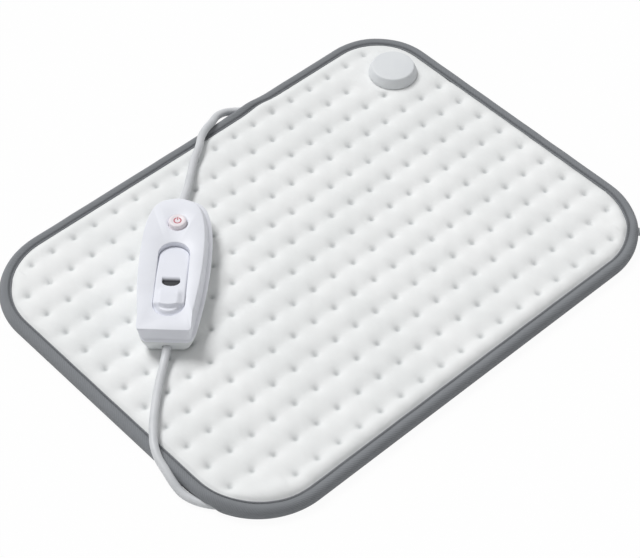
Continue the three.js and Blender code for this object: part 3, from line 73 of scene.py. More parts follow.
# The two free cords: white PVC mains cord, 5.8 mm thick. The lead runs from the coupling under the pad and
# over its back edge into the control's nose; the mains cord leaves the control's tail and runs under the pad
# to its coil and plug.
CORD, CORD_ENTRY = 5.8, 6.0
AXIS_TURN = math.radians(45.2)
CONTROL_PLACE = np.array([-94.4, 48.4, 11.8])


def from_control(s, t, h):
    """Places along, across and above the hand control, turned by its angle and moved to where it lies."""
    s, t, h = np.broadcast_arrays(s, t, h)
    x = s * math.cos(AXIS_TURN) - t * math.sin(AXIS_TURN) + CONTROL_PLACE[0]
    y = s * math.sin(AXIS_TURN) + t * math.cos(AXIS_TURN) + CONTROL_PLACE[1]
    return np.stack([x, y, h + CONTROL_PLACE[2]], -1)


def smooth_route(points, step):
    """Centripetal Catmull-Rom curve through the points, as the CAD's, then taken at equal steps along it."""
    p = np.asarray(points, float)
    p = np.concatenate([[2 * p[0] - p[1]], p, [2 * p[-1] - p[-2]]])
    knots = np.concatenate([[0], np.cumsum(np.sqrt(np.linalg.norm(np.diff(p, axis=0), axis=1)))])
    share = np.linspace(0, 1, 24, endpoint=False)[None, :, None]
    p0, p1, p2, p3 = (p[k:len(p) - 3 + k, None, :] for k in range(4))
    t0, t1, t2, t3 = (knots[k:len(knots) - 3 + k, None, None] for k in range(4))
    t = t1 + (t2 - t1) * share
    a1 = (t1 - t) / (t1 - t0) * p0 + (t - t0) / (t1 - t0) * p1
    a2 = (t2 - t) / (t2 - t1) * p1 + (t - t1) / (t2 - t1) * p2
    a3 = (t3 - t) / (t3 - t2) * p2 + (t - t2) / (t3 - t2) * p3
    b1 = (t2 - t) / (t2 - t0) * a1 + (t - t0) / (t2 - t0) * a2
    b2 = (t3 - t) / (t3 - t1) * a2 + (t - t1) / (t3 - t1) * a3
    fine = ((t2 - t) / (t2 - t1) * b1 + (t - t1) / (t2 - t1) * b2).reshape(-1, 3)
    return at_equal_steps(np.concatenate([fine, p[-2:-1]]), step)


def run_along(line):
    """How far along a line each of its points lies."""
    return np.concatenate([[0], np.cumsum(np.linalg.norm(np.diff(line, axis=0), axis=1))])


def at_equal_steps(line, step):
    """The same line, with its points about one step apart."""
    run = run_along(line)
    places = np.linspace(0, run[-1], max(2, round(run[-1] / step) + 1))
    return np.stack([np.interp(places, run, line[:, k]) for k in range(3)], -1)


ROUTE_STEP = 1.6
LEAD_IN_COUPLING = [[152.95, 97.7, 4], [143.2, 97.7, 4], [132.7, 97.7, 4], [122.2, 97.7, 4]]
LEAD_UNDER_PAD = [
    [112.6, 98.9, 3.3], [103, 102.6, 3.2], [93, 109, 3.2], [83, 117.4, 3.2], [73.6, 128.5, 3.2],
    [66, 139.7, 3.2], [58.7, 148.6, 3.2], [51.2, 153.9, 4]]
LEAD_OVER_PAD = [
    [43, 155.6, 6.8], [34.8, 154.1, 9.6], [26, 149.6, 12.2], [17.1, 146.1, 13.6], [8.9, 141.3, 14.6],
    [-0.1, 133.9, 14.7], [-10.4, 127, 14.8], [-21, 118, 15], [-32, 108.2, 16.4]]
MAINS_OVER_PAD = [
    [-149.9, -5.8, 15.6], [-160.2, -14, 14.8], [-172, -24.6, 14.8], [-182.6, -35, 14.8],
    [-191, -44.4, 14.7], [-196.8, -52.4, 14], [-200.6, -61, 12.3], [-202.4, -70.4, 10.3],
    [-203.7, -79.4, 7.3], [-203.6, -88, 4.5]]
MAINS_UNDER_PAD = [
    [-200.8, -96.6, 3.25], [-196, -105, 3.2], [-188.4, -113.2, 3.2], [-178, -120.6, 3.2],
    [-165, -126.8, 3.2], [-149, -130, 3.2], [-110, -131, 3.2], [-60, -131, 3.2], [-10, -131, 3.2],
    [40, -131, 3.2], [88, -130.4, 3.2], [120, -127.6, 3.2], [143, -124.8, 3.2], [159, -124, 3.2],
    [172, -126, 3.2], [181.5, -132, 3.2], [188.3, -139.8, 3.2], [194.2, -149.4, 3.2]]
MAINS_PAST_PAD = [[199.8, -161, 3.4], [203.2, -172.6, 4.1], [203.2, -183.9, 4.1]]
COIL_CENTRE, COIL_TURNS, COIL_RADIUS, COIL_PITCH = (250, -190), 7.25, 46.8, 6.4
COIL_LOW, COIL_HIGH = 4.1, 10.6
PLUG_Y = -236.8
PLUG_TAIL = [[261.6, PLUG_Y, 10.6], [272.8, PLUG_Y, 8.95], [289.8, PLUG_Y, 7.3], [301.8, PLUG_Y, 7.3],
             [313.5, PLUG_Y, 7.3]]


def coil_line():
    """Flat spiral that closes in, climbs one cord's thickness on the inmost turn and opens out above that."""
    turn = np.linspace(0, COIL_TURNS, round(COIL_TURNS * 48) + 1)
    radius = COIL_RADIUS - COIL_PITCH * np.minimum(turn, COIL_TURNS - turn)
    climb = np.clip((turn - COIL_TURNS / 2) / 0.5 + 0.5, 0, 1)
    height = COIL_LOW + (COIL_HIGH - COIL_LOW) * climb * climb * (3 - 2 * climb)
    angle = math.pi + 2 * math.pi * turn
    return np.stack([COIL_CENTRE[0] + radius * np.cos(angle), COIL_CENTRE[1] + radius * np.sin(angle),
                     height], -1)


lead_line = smooth_route(LEAD_IN_COUPLING + LEAD_UNDER_PAD + LEAD_OVER_PAD
                         + from_control([70.5, 64.7, 56.7, 48.7], 0, CORD_ENTRY).tolist(), ROUTE_STEP)
mains_line = smooth_route(from_control([-50.3, -58.3, -66.3], 0, CORD_ENTRY).tolist() + MAINS_OVER_PAD
                          + MAINS_UNDER_PAD + MAINS_PAST_PAD, ROUTE_STEP)
tail_line = smooth_route([[256.1, PLUG_Y, 10.6]] + PLUG_TAIL, ROUTE_STEP)
mains_run = at_equal_steps(np.concatenate([mains_line, coil_line(), tail_line]), 2.4)


class Value:
    """A shader socket. Sums and products of it add Math nodes, so a mask reads as 1 - edge * 0.5."""

    def __init__(self, finish, socket):
        self.finish = finish
        self.socket = socket

    def math(self, operation, *values):
        return self.finish.node("ShaderNodeMath", {"operation": operation}, dict(enumerate(values)))

    def __add__(self, other):
        return self.math("ADD", self, other)

    def __radd__(self, other):
        return self.math("ADD", other, self)

    def __sub__(self, other):
        return self.math("SUBTRACT", self, other)

    def __rsub__(self, other):
        return self.math("SUBTRACT", other, self)

    def __mul__(self, other):
        return self.math("MULTIPLY", self, other)

    def __rmul__(self, other):
        return self.math("MULTIPLY", other, self)

    def __pow__(self, other):
        return self.math("POWER", self, other)

    def __abs__(self):
        return self.math("ABSOLUTE", self)

    def between(self, low, high):
        """0 below low, 1 above high, smooth in between."""
        return self.finish.node("ShaderNodeMapRange", {"interpolation_type": "SMOOTHSTEP"},
                                {0: self, 1: low, 2: high, 3: 0.0, 4: 1.0})


def tint(red, green, blue):
    """A colour as seen on a screen, 0 to 255, to the light that it stands for."""
    seen = np.array([red, green, blue]) / 255
    light = np.where(seen <= 0.04045, seen / 12.92, ((seen + 0.055) / 1.055) ** 2.4)
    return (*light.tolist(), 1.0)


class Tree:
    """The nodes of a material or of the world, and one way to add any node to them."""

    def __init__(self, tree):
        self.nodes = tree.nodes
        self.links = tree.links

    def node(self, kind, settings=None, values=None, output=0):
        """Any node, from its type, its settings, and the values or links of its sockets."""
        made = self.nodes.new(kind)
        for name, value in (settings or {}).items():
            setattr(made, name, value)
        for name, value in (values or {}).items():
            self.put(made.inputs[name], value)
        return Value(self, made.outputs[output])

    def put(self, socket, value):
        if isinstance(value, Value):
            self.links.new(value.socket, socket)
        else:
            socket.default_value = value


class Finish(Tree):
    """One material: its shader, whose steady values are set here, and what changes over the surface."""

    def __init__(self, name, **steady):
        self.material = bpy.data.materials.new(name)
        self.material.use_nodes = True
        super().__init__(self.material.node_tree)
        self.shader = self.nodes["Principled BSDF"]
        for socket, value in steady.items():
            self.shader.inputs[socket.replace("_", " ")].default_value = value

    def colour(self, share, first, second):
        """From the first colour to the second by the share."""
        return self.node("ShaderNodeMix", {"data_type": "RGBA"}, {0: share, 6: first, 7: second}, output=2)

    def place(self, scale=(1, 1, 1), uv=False):
        """Object coordinates, or the piece's own UV map, scaled."""
        source = self.node("ShaderNodeTexCoord", output=2 if uv else 3)
        return self.node("ShaderNodeMapping", None, {"Vector": source, "Scale": scale})

    def grain(self, scale, detail=2.0, place=None, rough=0.5):
        """Cloudy noise, about as many lumps to the metre as the scale."""
        return self.node("ShaderNodeTexNoise", None, {
            "Vector": place or self.place(), "Scale": scale, "Detail": detail, "Roughness": rough})

    def waves(self, direction, scale, place, distortion=1.2, waver=1.0):
        """Parallel bands in one direction, which waver a little, as yarns do."""
        return self.node("ShaderNodeTexWave", {"wave_type": "BANDS", "bands_direction": direction}, {
            "Vector": place, "Scale": scale, "Distortion": distortion, "Detail": 1.0, "Detail Scale": waver})

    def painted(self, name):
        """The share from 0 to 1 that the piece's points carry under this name."""
        return self.node("ShaderNodeAttribute", {"attribute_name": name}, output=2)

    def relief(self, height, depth, under=None):
        """A bump of that depth in metres; under is the bump below it."""
        values = {"Height": height, "Strength": 1.0, "Distance": depth}
        if under is not None:
            values["Normal"] = under
        return self.node("ShaderNodeBump", None, values)

    def shade(self, **varying):
        """Sets what changes over the surface, and gives the finished material."""
        for socket, value in varying.items():
            self.put(self.shader.inputs[socket.replace("_", " ")], value)
        return self.material


def mesh_piece(name, points, faces, uv=None):
    """A mesh from points in mm and faces of four corners, where a face of three repeats one. If the faces
    enclose less than nothing, they point inwards and are all turned round."""
    points = np.asarray(points, float) * MM
    faces = np.asarray(faces)
    a, b, c, d = (points[faces[:, k]] for k in range(4))
    if (a * np.cross(b, c)).sum() + (a * np.cross(c, d)).sum() < 0:
        faces = faces[:, ::-1]
        uv = None if uv is None else uv[:, ::-1]
    keep = faces != np.roll(faces, 1, axis=1)
    corners = faces[keep]
    starts = np.concatenate([[0], np.cumsum(keep.sum(1))[:-1]])
    mesh = bpy.data.meshes.new(name)
    mesh.vertices.add(len(points))
    mesh.vertices.foreach_set("co", points.ravel())
    mesh.loops.add(len(corners))
    mesh.loops.foreach_set("vertex_index", corners.astype(np.int32))
    mesh.polygons.add(len(faces))
    mesh.polygons.foreach_set("loop_start", starts.astype(np.int32))
    mesh.polygons.foreach_set("use_smooth", np.ones(len(faces), bool))
    mesh.update(calc_edges=True)
    mesh.validate()
    if uv is not None:
        layer = mesh.uv_layers.new(name="surface")
        layer.data.foreach_set("uv", uv[keep].astype(np.float32).ravel())
    piece = bpy.data.objects.new(name, mesh)
    bpy.context.scene.collection.objects.link(piece)
    return piece


def loft_faces(rows, columns, looped=False, capped=True):
    """Faces between rings of points; each open end is closed by a fan to an extra point after the rings."""
    index = np.arange(rows * columns).reshape(rows, columns)
    here = index if looped else index[:-1]
    ahead = np.roll(index, -1, axis=0) if looped else index[1:]
    faces = [np.stack([here, np.roll(here, -1, 1), np.roll(ahead, -1, 1), ahead], -1).reshape(-1, 4)]
    if capped and not looped:
        first = np.full(columns, rows * columns)
        last = first + 1
        faces.append(np.stack([np.roll(index[0], -1), index[0], first, first], -1))
        faces.append(np.stack([index[-1], np.roll(index[-1], -1), last, last], -1))
    return np.concatenate(faces)


def loft(name, rings, looped=False, uv=None):
    """Rings of the same number of points joined along their length, with closed ends or as a loop."""
    rings = np.asarray(rings, float)
    points = rings.reshape(-1, 3)
    if not looped:
        points = np.concatenate([points, [rings[0].mean(0), rings[-1].mean(0)]])
    return mesh_piece(name, points, loft_faces(*rings.shape[:2], looped), uv)


def tube_rings(line, radius, sides):
    """Round section carried along a line: across is level, and up is square to it and the line."""
    along = np.gradient(line, axis=0)
    along /= np.linalg.norm(along, axis=1)[:, None]
    across = np.stack([-along[:, 1], along[:, 0], np.zeros(len(line))], -1)
    across /= np.linalg.norm(across, axis=1)[:, None]
    up = np.cross(along, across)
    angle = np.linspace(0, 2 * math.pi, sides, endpoint=False)[None, :, None]
    return line[:, None] + radius * (np.cos(angle) * across[:, None] + np.sin(angle) * up[:, None])


def set_on(piece, slot, finish, *replaced, body="pad_and_control"):
    """Gives a piece its material, the body it rides on and the solids it stands for. Slot is not used."""
    piece.data.materials.clear()
    piece.data.materials.append(finish)
    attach(piece, body)
    if replaced:
        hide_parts(*replaced)
    return piece


sheath = Finish("white PVC cord", Specular_IOR_Level=0.45)
sheath_cloud = sheath.grain(60.0, 3.0)
cord_finish = sheath.shade(
    Base_Color=sheath.colour(sheath_cloud.between(0.35, 0.7), tint(214, 216, 219), tint(204, 207, 210)),
    Roughness=0.4 + 0.16 * (sheath_cloud - 0.5),
    Normal=sheath.relief(sheath.grain(1400.0), 0.00003))

lead = set_on(loft("free_lead", tube_rings(lead_line, CORD / 2, 24)), "cord_plastic", cord_finish, "pad_lead")
mains = set_on(loft("mains_lead", tube_rings(mains_run, CORD / 2, 16)), "cord_plastic", cord_finish,
               "mains_cord", "mains_coil", "plug_tail")


# The light of a packshot: one wide soft lamp high behind the pad, whose shadows fall to the right and towards
# the camera, and an even white room. The floor is a pale sheet that keeps the pad's shadow.
def set_light():
    """A sun 24 degrees wide from behind the pad, and a world that fills the shade. Rays from the camera and
    from gloss find the world at full white."""
    sun = bpy.data.lights.new("soft_lamp", "SUN")
    sun.energy = 2.0
    sun.angle = math.radians(24)
    lamp = bpy.data.objects.new("soft_lamp", sun)
    towards = Vector((-0.12, 1.0, 1.62)).normalized()
    lamp.rotation_mode = "QUATERNION"
    lamp.rotation_quaternion = towards.to_track_quat("Z", "Y")
    bpy.context.scene.collection.objects.link(lamp)
    world = bpy.data.worlds.new("room")
    world.use_nodes = True
    bpy.context.scene.world = world
    room = Tree(world.node_tree)
    background = room.nodes["Background"]
    path = room.node("ShaderNodeLightPath")
    seen = path.math("MAXIMUM", path, Value(room, path.socket.node.outputs["Is Glossy Ray"]))
    room.put(background.inputs["Color"], (1, 1, 1, 1))
    room.put(background.inputs["Strength"], room.node("ShaderNodeMix", None, {0: seen, 2: 0.37, 3: 1.0}))
    bpy.context.scene.view_settings.view_transform = "Standard"


def lay_floor():
    """A flat round sheet, as rings about the pad out to 16 m, just below the lowest part."""
    angle = np.linspace(0, 2 * math.pi, 64, endpoint=False)
    radius = np.array([[0.0], [4000.0], [8000.0], [16000.0]])
    rings = np.stack(np.broadcast_arrays(radius * np.cos(angle), radius * np.sin(angle), -0.05), -1)
    floor = mesh_piece("floor", rings.reshape(-1, 3), loft_faces(4, 64, capped=False))
    paper = Finish("floor paper", Specular_IOR_Level=0.0)
    path = paper.node("ShaderNodeLightPath")
    paper.shade(Base_Color=tint(248, 248, 248), Roughness=0.9)
    glow = paper.node("ShaderNodeEmission", None, {"Color": (1, 1, 1, 1), "Strength": 1.0})
    mixed = paper.node("ShaderNodeMixShader", None,
                       {0: path * 0.95, 1: Value(paper, paper.shader.outputs[0]), 2: glow})
    paper.put(paper.nodes["Material Output"].inputs["Surface"], mixed)
    floor.data.materials.append(paper.material)


set_light()
lay_floor()


# The bottom cover: soft white fleece under the heater, with a groove pressed into it where each cord passes
# and a hollow round the coupling's base. Its edge lies in the binding.
PAD_LENGTH, PAD_WIDTH = 400.0, 300.0
PAD_CORNER, COUPLING_CORNER = 59.0, 49.0
BINDING_WIDTH, BINDING_HEIGHT, BINDING_WALL = 8.8, 10.1, 1.1
EDGE_INSET, SEAM_INSET = 3.6, 9.1
COUPLING = np.array([162.7, 97.7])
POCKET_LENGTH, POCKET_WIDTH = 346.4, 238.4
CORD_ROOF = 6.55


def corner_radius(x, y):
    """The radius of the pad's corner in each point's own quarter of the pad."""
    return np.where((x > 0) & (y > 0), COUPLING_CORNER, PAD_CORNER)


def inside_edge(x, y):
    """How far a point lies inside the pad's round-cornered outline."""
    radius = corner_radius(x, y)
    over_x = np.abs(x) - (PAD_LENGTH / 2 - radius)
    over_y = np.abs(y) - (PAD_WIDTH / 2 - radius)
    beyond = np.hypot(np.maximum(over_x, 0), np.maximum(over_y, 0))
    return radius - beyond - np.minimum(np.maximum(over_x, over_y), 0)


def coupling_distance(x, y):
    """The distance of each point from the coupling's middle."""
    return np.hypot(x - COUPLING[0], y - COUPLING[1])


def step_between(low, high, value):
    """0 below low, 1 above high, and the smooth step 3t2 - 2t3 in between."""
    t = np.clip((value - low) / (high - low), 0, 1)
    return t * t * (3 - 2 * t)


def distance_to(line, x, y):
    """The least distance from each point to the line's points, taken in batches of points."""
    flat = np.stack([x.ravel(), y.ravel()], -1)
    parts = [np.sqrt(((part[:, None] - line[None, :, :2]) ** 2).sum(-1)).min(1)
             for part in np.array_split(flat, max(1, len(flat) // 4000))]
    return np.concatenate(parts).reshape(x.shape)


under_lead = smooth_route(LEAD_IN_COUPLING[-1:] + LEAD_UNDER_PAD + LEAD_OVER_PAD[:1], 1.2)
under_mains = smooth_route(MAINS_OVER_PAD[-2:] + MAINS_UNDER_PAD, 1.2)
under_relief = at_equal_steps(np.array([[119.5, 97.7, 4], [143.2, 97.7, 4]]), 1.2)


def cord_distance(x, y):
    """The distance of each point from the nearer of the two cords where they run under the pad."""
    return np.minimum(distance_to(under_lead, x, y), distance_to(under_mains, x, y))


def cord_roof(x, y):
    """The height to which the cords lift the cloth above them: full over the cord, 0 from 5 mm beside it. It
    is higher and wider over the strain relief."""
    over_cord = CORD_ROOF * (1 - step_between(3.3, 5.4, cord_distance(x, y)))
    over_relief = (CORD_ROOF + 1.4) * (1 - step_between(4.2, 5.8, distance_to(under_relief, x, y)))
    return np.maximum(over_cord, over_relief)


def cord_swell(x, y):
    """How much the cords lift the pad's upper side near its edge: most over the cord, fading to its sides and
    inwards."""
    return 2.1 * np.exp(-(cord_distance(x, y) / 8.5) ** 2) * (1 - step_between(8, 30, inside_edge(x, y)))


def round_cornered(columns, rows, lean=0.0):
    """A grid on the pad's outline, leant along x away from its ends: in each corner square, points are drawn
    towards the corner's centre so that the square becomes a quarter disc."""
    x, y = np.meshgrid(columns, rows)
    x = x + lean * y * np.clip((PAD_LENGTH / 2 - EDGE_INSET - np.abs(x)) / 15, 0, 1)
    radius = corner_radius(x, y)
    reach_x, reach_y = PAD_LENGTH / 2 - radius, PAD_WIDTH / 2 - radius
    over_x, over_y = np.maximum(np.abs(x) - reach_x, 0), np.maximum(np.abs(y) - reach_y, 0)
    both = (over_x > 0) & (over_y > 0)
    size = np.where(both, np.maximum(over_x, over_y) / np.maximum(np.hypot(over_x, over_y), 1e-9), 1)
    over_x, over_y = over_x * size, over_y * size
    x = np.sign(x) * np.where(np.abs(x) > reach_x, reach_x + over_x, np.abs(x))
    y = np.sign(y) * np.where(np.abs(y) > reach_y, reach_y + over_y, np.abs(y))
    return x, y


def even_lines(half, step, dense):
    """Grid lines across a span, closer together inside each dense stretch (low, high, step)."""
    stops = sorted({-half, half, *[v for low, high, _ in dense for v in (low, high)]})
    lines = []
    for low, high in zip(stops[:-1], stops[1:]):
        pace = min([s for a, b, s in dense if a <= low and high <= b] + [step])
        lines.append(np.linspace(low, high, max(2, round((high - low) / pace) + 1))[:-1])
    return np.concatenate(lines + [[half]])


def padded_sheet(name, x, y, low, high):
    """Two grids one above the other, joined by a wall along their common edge."""
    rows, columns = x.shape
    points = np.stack([np.stack(np.broadcast_arrays(x, y, height), -1) for height in (high, low)])
    index = np.arange(rows * columns).reshape(rows, columns)
    top = np.stack([index[:-1, :-1], index[:-1, 1:], index[1:, 1:], index[1:, :-1]], -1).reshape(-1, 4)
    edge = np.concatenate([index[0, :-1], index[:-1, -1], index[-1, :0:-1], index[:0:-1, 0]])
    after = np.roll(edge, -1)
    under = rows * columns
    wall = np.stack([after, edge, edge + under, after + under], -1)
    return mesh_piece(name, points.reshape(-1, 3), np.concatenate([top, top[:, ::-1] + under, wall]))


def fleece(name, colour, low, pile, depth):
    """Brushed cloth: a fine pile in two sizes, and slow changes of tone over a few centimetres."""
    finish = Finish(name, Sheen_Weight=0.25, Sheen_Roughness=0.5, Specular_IOR_Level=0.2)
    tone = finish.grain(22.0, 4.0)
    tuft = finish.grain(pile, 3.0, rough=0.7)
    fibre = finish.grain(pile * 3.1, 2.0)
    hair = tuft * 0.65 + fibre * 0.35
    return finish.shade(
        Base_Color=finish.colour(tone.between(0.3, 0.75) * 0.6 + hair * 0.4, tint(*low), tint(*colour)),
        Roughness=0.82 + 0.14 * (hair - 0.5),
        Normal=finish.relief(hair, depth))


under_columns = even_lines(PAD_LENGTH / 2 - EDGE_INSET, 3.4,
                           [(-196.4, -150, 1.8), (150, 196.4, 1.8), (40, 150, 2.1)])
under_rows = even_lines(PAD_WIDTH / 2 - EDGE_INSET, 3.4,
                        [(-141, -119, 1.3), (-119, -92, 1.9), (92, 146.4, 1.9)])
under_x, under_y = round_cornered(under_columns, under_rows)
under_inside = inside_edge(under_x, under_y)
over_heater = step_between(0, 2, np.minimum(POCKET_LENGTH / 2 - np.abs(under_x),
                                            POCKET_WIDTH / 2 - np.abs(under_y)))
under_edge = 1.4 * (1 - step_between(8.9, 10.0, under_inside))
under_cup = 7.15 * (1 - step_between(20.3, 22.4, coupling_distance(under_x, under_y)))
under_low = np.maximum(np.maximum(under_edge, cord_roof(under_x, under_y)), under_cup)
under_high = np.where(under_inside < 9.2, 4.85, 7.05 - 2.0 * over_heater)
under_high = np.maximum(under_high, under_low + 0.2)
fleece_finish = fleece("white fleece", (240, 241, 242), (226, 228, 229), 420.0, 0.0005)
bottom = set_on(padded_sheet("bottom_fleece", under_x, under_y, under_low, under_high), "cover",
                fleece_finish, "bottom_cover")


# The heater between the covers: a thin carrier fleece, one red-jacketed resistance wire sewn on it in rows,
# and two thermal cut-outs bonded to it.
PLASTIC_CLOUD, PLASTIC_GRAIN = 38.0, 900.0


def moulded(name, colour, low, roughness, mark=None, mark_colour=None, **steady):
    """Moulded plastic: a soft cloudiness between two near colours, and the fine spark grain of the tool.
    Where the piece carries the mark's share, it has the mark's colour."""
    finish = Finish(name, **steady)
    fine = finish.grain(PLASTIC_GRAIN)
    base = finish.colour(finish.grain(PLASTIC_CLOUD, 3.0).between(0.35, 0.7), tint(*colour), tint(*low))
    if mark:
        base = finish.colour(finish.painted(mark).between(0.1, 0.8), base, tint(*mark_colour))
    return finish.shade(Base_Color=base, Roughness=roughness + 0.12 * (fine - 0.5),
                        Normal=finish.relief(fine, 0.00004))


def dress(finish, *names):
    """A CAD part that keeps its own shape gets its material."""
    for name in names:
        for slot in range(max(1, len(node[name].material_slots))):
            node[name].material_slots[slot].material = finish


carrier_finish = fleece("carrier fleece", (214, 210, 200), (198, 193, 182), 620.0, 0.0002)
dress(carrier_finish, "heating_carrier")
wire_finish = moulded("red silicone jacket", (172, 52, 44), (150, 42, 36), 0.45)
dress(wire_finish, "heating_wire")
part_finish = moulded("black moulding", (44, 45, 48), (34, 35, 38), 0.5)
dress(part_finish, "thermal_cutout_1", "thermal_cutout_2")


# The top cover: white quilted cloth over wadding. Rows of small spot welds draw it down, so it swells into
# ridges between the rows and dimples at each weld; its edge is sewn into the binding.
TUFT_MARGIN, TUFT_COLUMNS, TUFT_ROWS = 21.3, 20, 13
TUFT_PITCH = np.array([(PAD_LENGTH - 2 * TUFT_MARGIN) / (TUFT_COLUMNS - 1),
                       (PAD_WIDTH - 2 * TUFT_MARGIN) / (TUFT_ROWS - 1)])
TUFT_LEAN = 0.016
COVER_EDGE, QUILT_CREST, COVER_UNDERSIDE = 7.9, 11.5, 7.4


def nearest_tuft(x, y):
    """The weld nearest to each point, on columns that lean a little, and whether there is one there: none in
    the corners or at the coupling."""
    leant = x - TUFT_LEAN * y
    column = np.clip(np.round((leant + PAD_LENGTH / 2 - TUFT_MARGIN) / TUFT_PITCH[0]), 0, TUFT_COLUMNS - 1)
    row = np.clip(np.round((y + PAD_WIDTH / 2 - TUFT_MARGIN) / TUFT_PITCH[1]), 0, TUFT_ROWS - 1)
    tuft_y = row * TUFT_PITCH[1] + TUFT_MARGIN - PAD_WIDTH / 2
    tuft_x = column * TUFT_PITCH[0] + TUFT_MARGIN - PAD_LENGTH / 2 + TUFT_LEAN * tuft_y
    clear = (inside_edge(tuft_x, tuft_y) > SEAM_INSET + 7) & (coupling_distance(tuft_x, tuft_y) > 23)
    return tuft_x, tuft_y, clear


def weld_share(x, y, size):
    """1 at each weld, falling to 0 over that size around it."""
    tuft_x, tuft_y, clear = nearest_tuft(x, y)
    return np.exp(-((x - tuft_x) ** 2 + (y - tuft_y) ** 2) / size ** 2) * clear


def quilt_height(x, y):
    """Edge height, plus a quarter-round swell inwards, less a broad channel along each row of welds, a pull
    round each weld and the weld's own small steep pit, plus the wadding's slow unevenness and creases between
    welds. Under the coupling's cap only the swell is left."""
    swell = np.sqrt(np.clip(1 - (1 - np.clip((inside_edge(x, y) - SEAM_INSET) / 9, 0, 1)) ** 2, 0, 1))
    tuft_x, tuft_y, clear = nearest_tuft(x, y)
    row_wave = (1 + np.cos(2 * math.pi * (y - tuft_y) / TUFT_PITCH[1])) / 2
    column_wave = (1 + np.cos(2 * math.pi * (x - tuft_x) / TUFT_PITCH[0])) / 2
    pull = 1.0 * row_wave ** 1.5 + 0.8 * row_wave * column_wave + 1.7 * weld_share(x, y, 2.5)
    uneven = 0.2 * np.sin(x / 17.3 + 1.1 * np.sin(y / 23.0)) * np.sin(y / 14.1 + 1.7 * np.sin(x / 31.0))
    crease = 0.14 * np.sin(x / 3.1 + 2.3 * np.sin(y / 9.7 + x / 41.0)) * row_wave * (1 - column_wave)
    drawn = (pull * clear - uneven - crease) * step_between(18, 26, coupling_distance(x, y))
    return COVER_EDGE + (QUILT_CREST - COVER_EDGE - drawn) * swell


def tuft_lines(half, pitch, count):
    """Grid lines that pass through every weld, closest together beside it, and go on out to the edge."""
    share = np.array([0, 0.035, 0.075, 0.125, 0.19, 0.28, 0.39])
    share = np.concatenate([share, [0.5], 1 - share[:0:-1]])
    first = -(count - 1) * pitch / 2
    inner = np.append((first + (np.arange(count - 1)[:, None] + share) * pitch).ravel(), -first)
    outer = np.linspace(inner[-1], half - EDGE_INSET, 13)[1:]
    return np.concatenate([-outer[::-1], inner, outer])


def paint(piece, name, shares):
    """Gives the piece's points a share each, for its material; the points past the last share get 0."""
    layer = piece.data.attributes.new(name, "FLOAT", "POINT")
    layer.data.foreach_set("value", np.pad(shares.ravel(), (0, len(layer.data) - shares.size)))


quilt_x, quilt_y = round_cornered(tuft_lines(PAD_LENGTH / 2, TUFT_PITCH[0], TUFT_COLUMNS),
                                  tuft_lines(PAD_WIDTH / 2, TUFT_PITCH[1], TUFT_ROWS), TUFT_LEAN)
quilt_inside = inside_edge(quilt_x, quilt_y)
quilt_high = np.where(quilt_inside < SEAM_INSET, COVER_EDGE - 0.4, quilt_height(quilt_x, quilt_y))
quilt_high += cord_swell(quilt_x, quilt_y)
quilt_low = np.where(quilt_inside < SEAM_INSET + 0.3, 5.15, COVER_UNDERSIDE)
quilt_low = np.maximum(quilt_low, 9.0 * (1 - step_between(16, 19, coupling_distance(quilt_x, quilt_y))))
cloth = Finish("quilted white cloth", Sheen_Weight=0.15, Sheen_Roughness=0.5, Specular_IOR_Level=0.2)
cloth_yarns = (cloth.waves("X", 420.0, cloth.place(), waver=2.0)
               + cloth.waves("Y", 360.0, cloth.place(), waver=2.0))
cloth_knit = cloth_yarns * 0.35 + cloth.grain(900.0) * 0.3
cloth_tone = cloth.grain(16.0, 3.0).between(0.3, 0.7) * 0.6 + cloth_knit * 0.4
cloth_colour = cloth.colour(cloth_tone, tint(238, 240, 240), tint(248, 249, 249))
cloth_crease = cloth.relief(cloth.grain(95.0, 3.0, cloth.place((1, 0.45, 1))), 0.0012)
# Each weld's pit is painted darker (196, 199, 200): painted shade for the shade deep in the steep pit.
quilt_finish = cloth.shade(
    Base_Color=cloth.colour(cloth.painted("weld_pit_shade"), cloth_colour, tint(196, 199, 200)),
    Roughness=0.8 + 0.15 * (cloth_knit - 0.5),
    Normal=cloth.relief(cloth_knit, 0.00012, under=cloth_crease))
quilt = padded_sheet("quilted_cover", quilt_x, quilt_y, quilt_low, quilt_high)
paint(quilt, "weld_pit_shade", weld_share(quilt_x, quilt_y, 1.9))
set_on(quilt, "cover", quilt_finish, "top_cover")


# The binding: a grey woven tape folded round both covers' edges and sewn through with one line of stitches.
# It is one long strip, and it rides up a little where a cord passes below it.
def outline_walk(places):
    """Round the pad's outline, for places along it from 0 to 1: the centre that it turns about or runs
    beside, the outward direction, the outline's distance from that centre, and the run from the start."""
    radius = np.array([COUPLING_CORNER, PAD_CORNER, PAD_CORNER, PAD_CORNER])
    corner_x = np.array([1, -1, -1, 1]) * (PAD_LENGTH / 2 - radius)
    corner_y = np.array([1, 1, -1, -1]) * (PAD_WIDTH / 2 - radius)
    straights = np.where(np.arange(4) % 2 == 0, np.abs(corner_y - np.roll(corner_y, 1)),
                         np.abs(corner_x - np.roll(corner_x, 1)))
    sides = np.stack([straights, math.pi / 2 * radius], -1).ravel()
    ends = np.concatenate([[0], np.cumsum(sides)])
    run = places * ends[-1]
    part = np.clip(np.searchsorted(ends, run, side="right") - 1, 0, 7)
    share = (run - ends[part]) / sides[part]
    quarter, straight = part // 2, part % 2 == 0
    before = (quarter - 1) % 4
    angle = math.pi / 2 * (quarter + np.where(straight, 0, share))
    centre_x, centre_y, reach = (
        np.where(straight, value[before] + (value[quarter] - value[before]) * share, value[quarter])
        for value in (corner_x, corner_y, radius))
    return centre_x, centre_y, np.cos(angle), np.sin(angle), reach, run


SEAM_LINE, BINDING_FOLD, TAPE_STEPS = 7.3, 3.9, 640


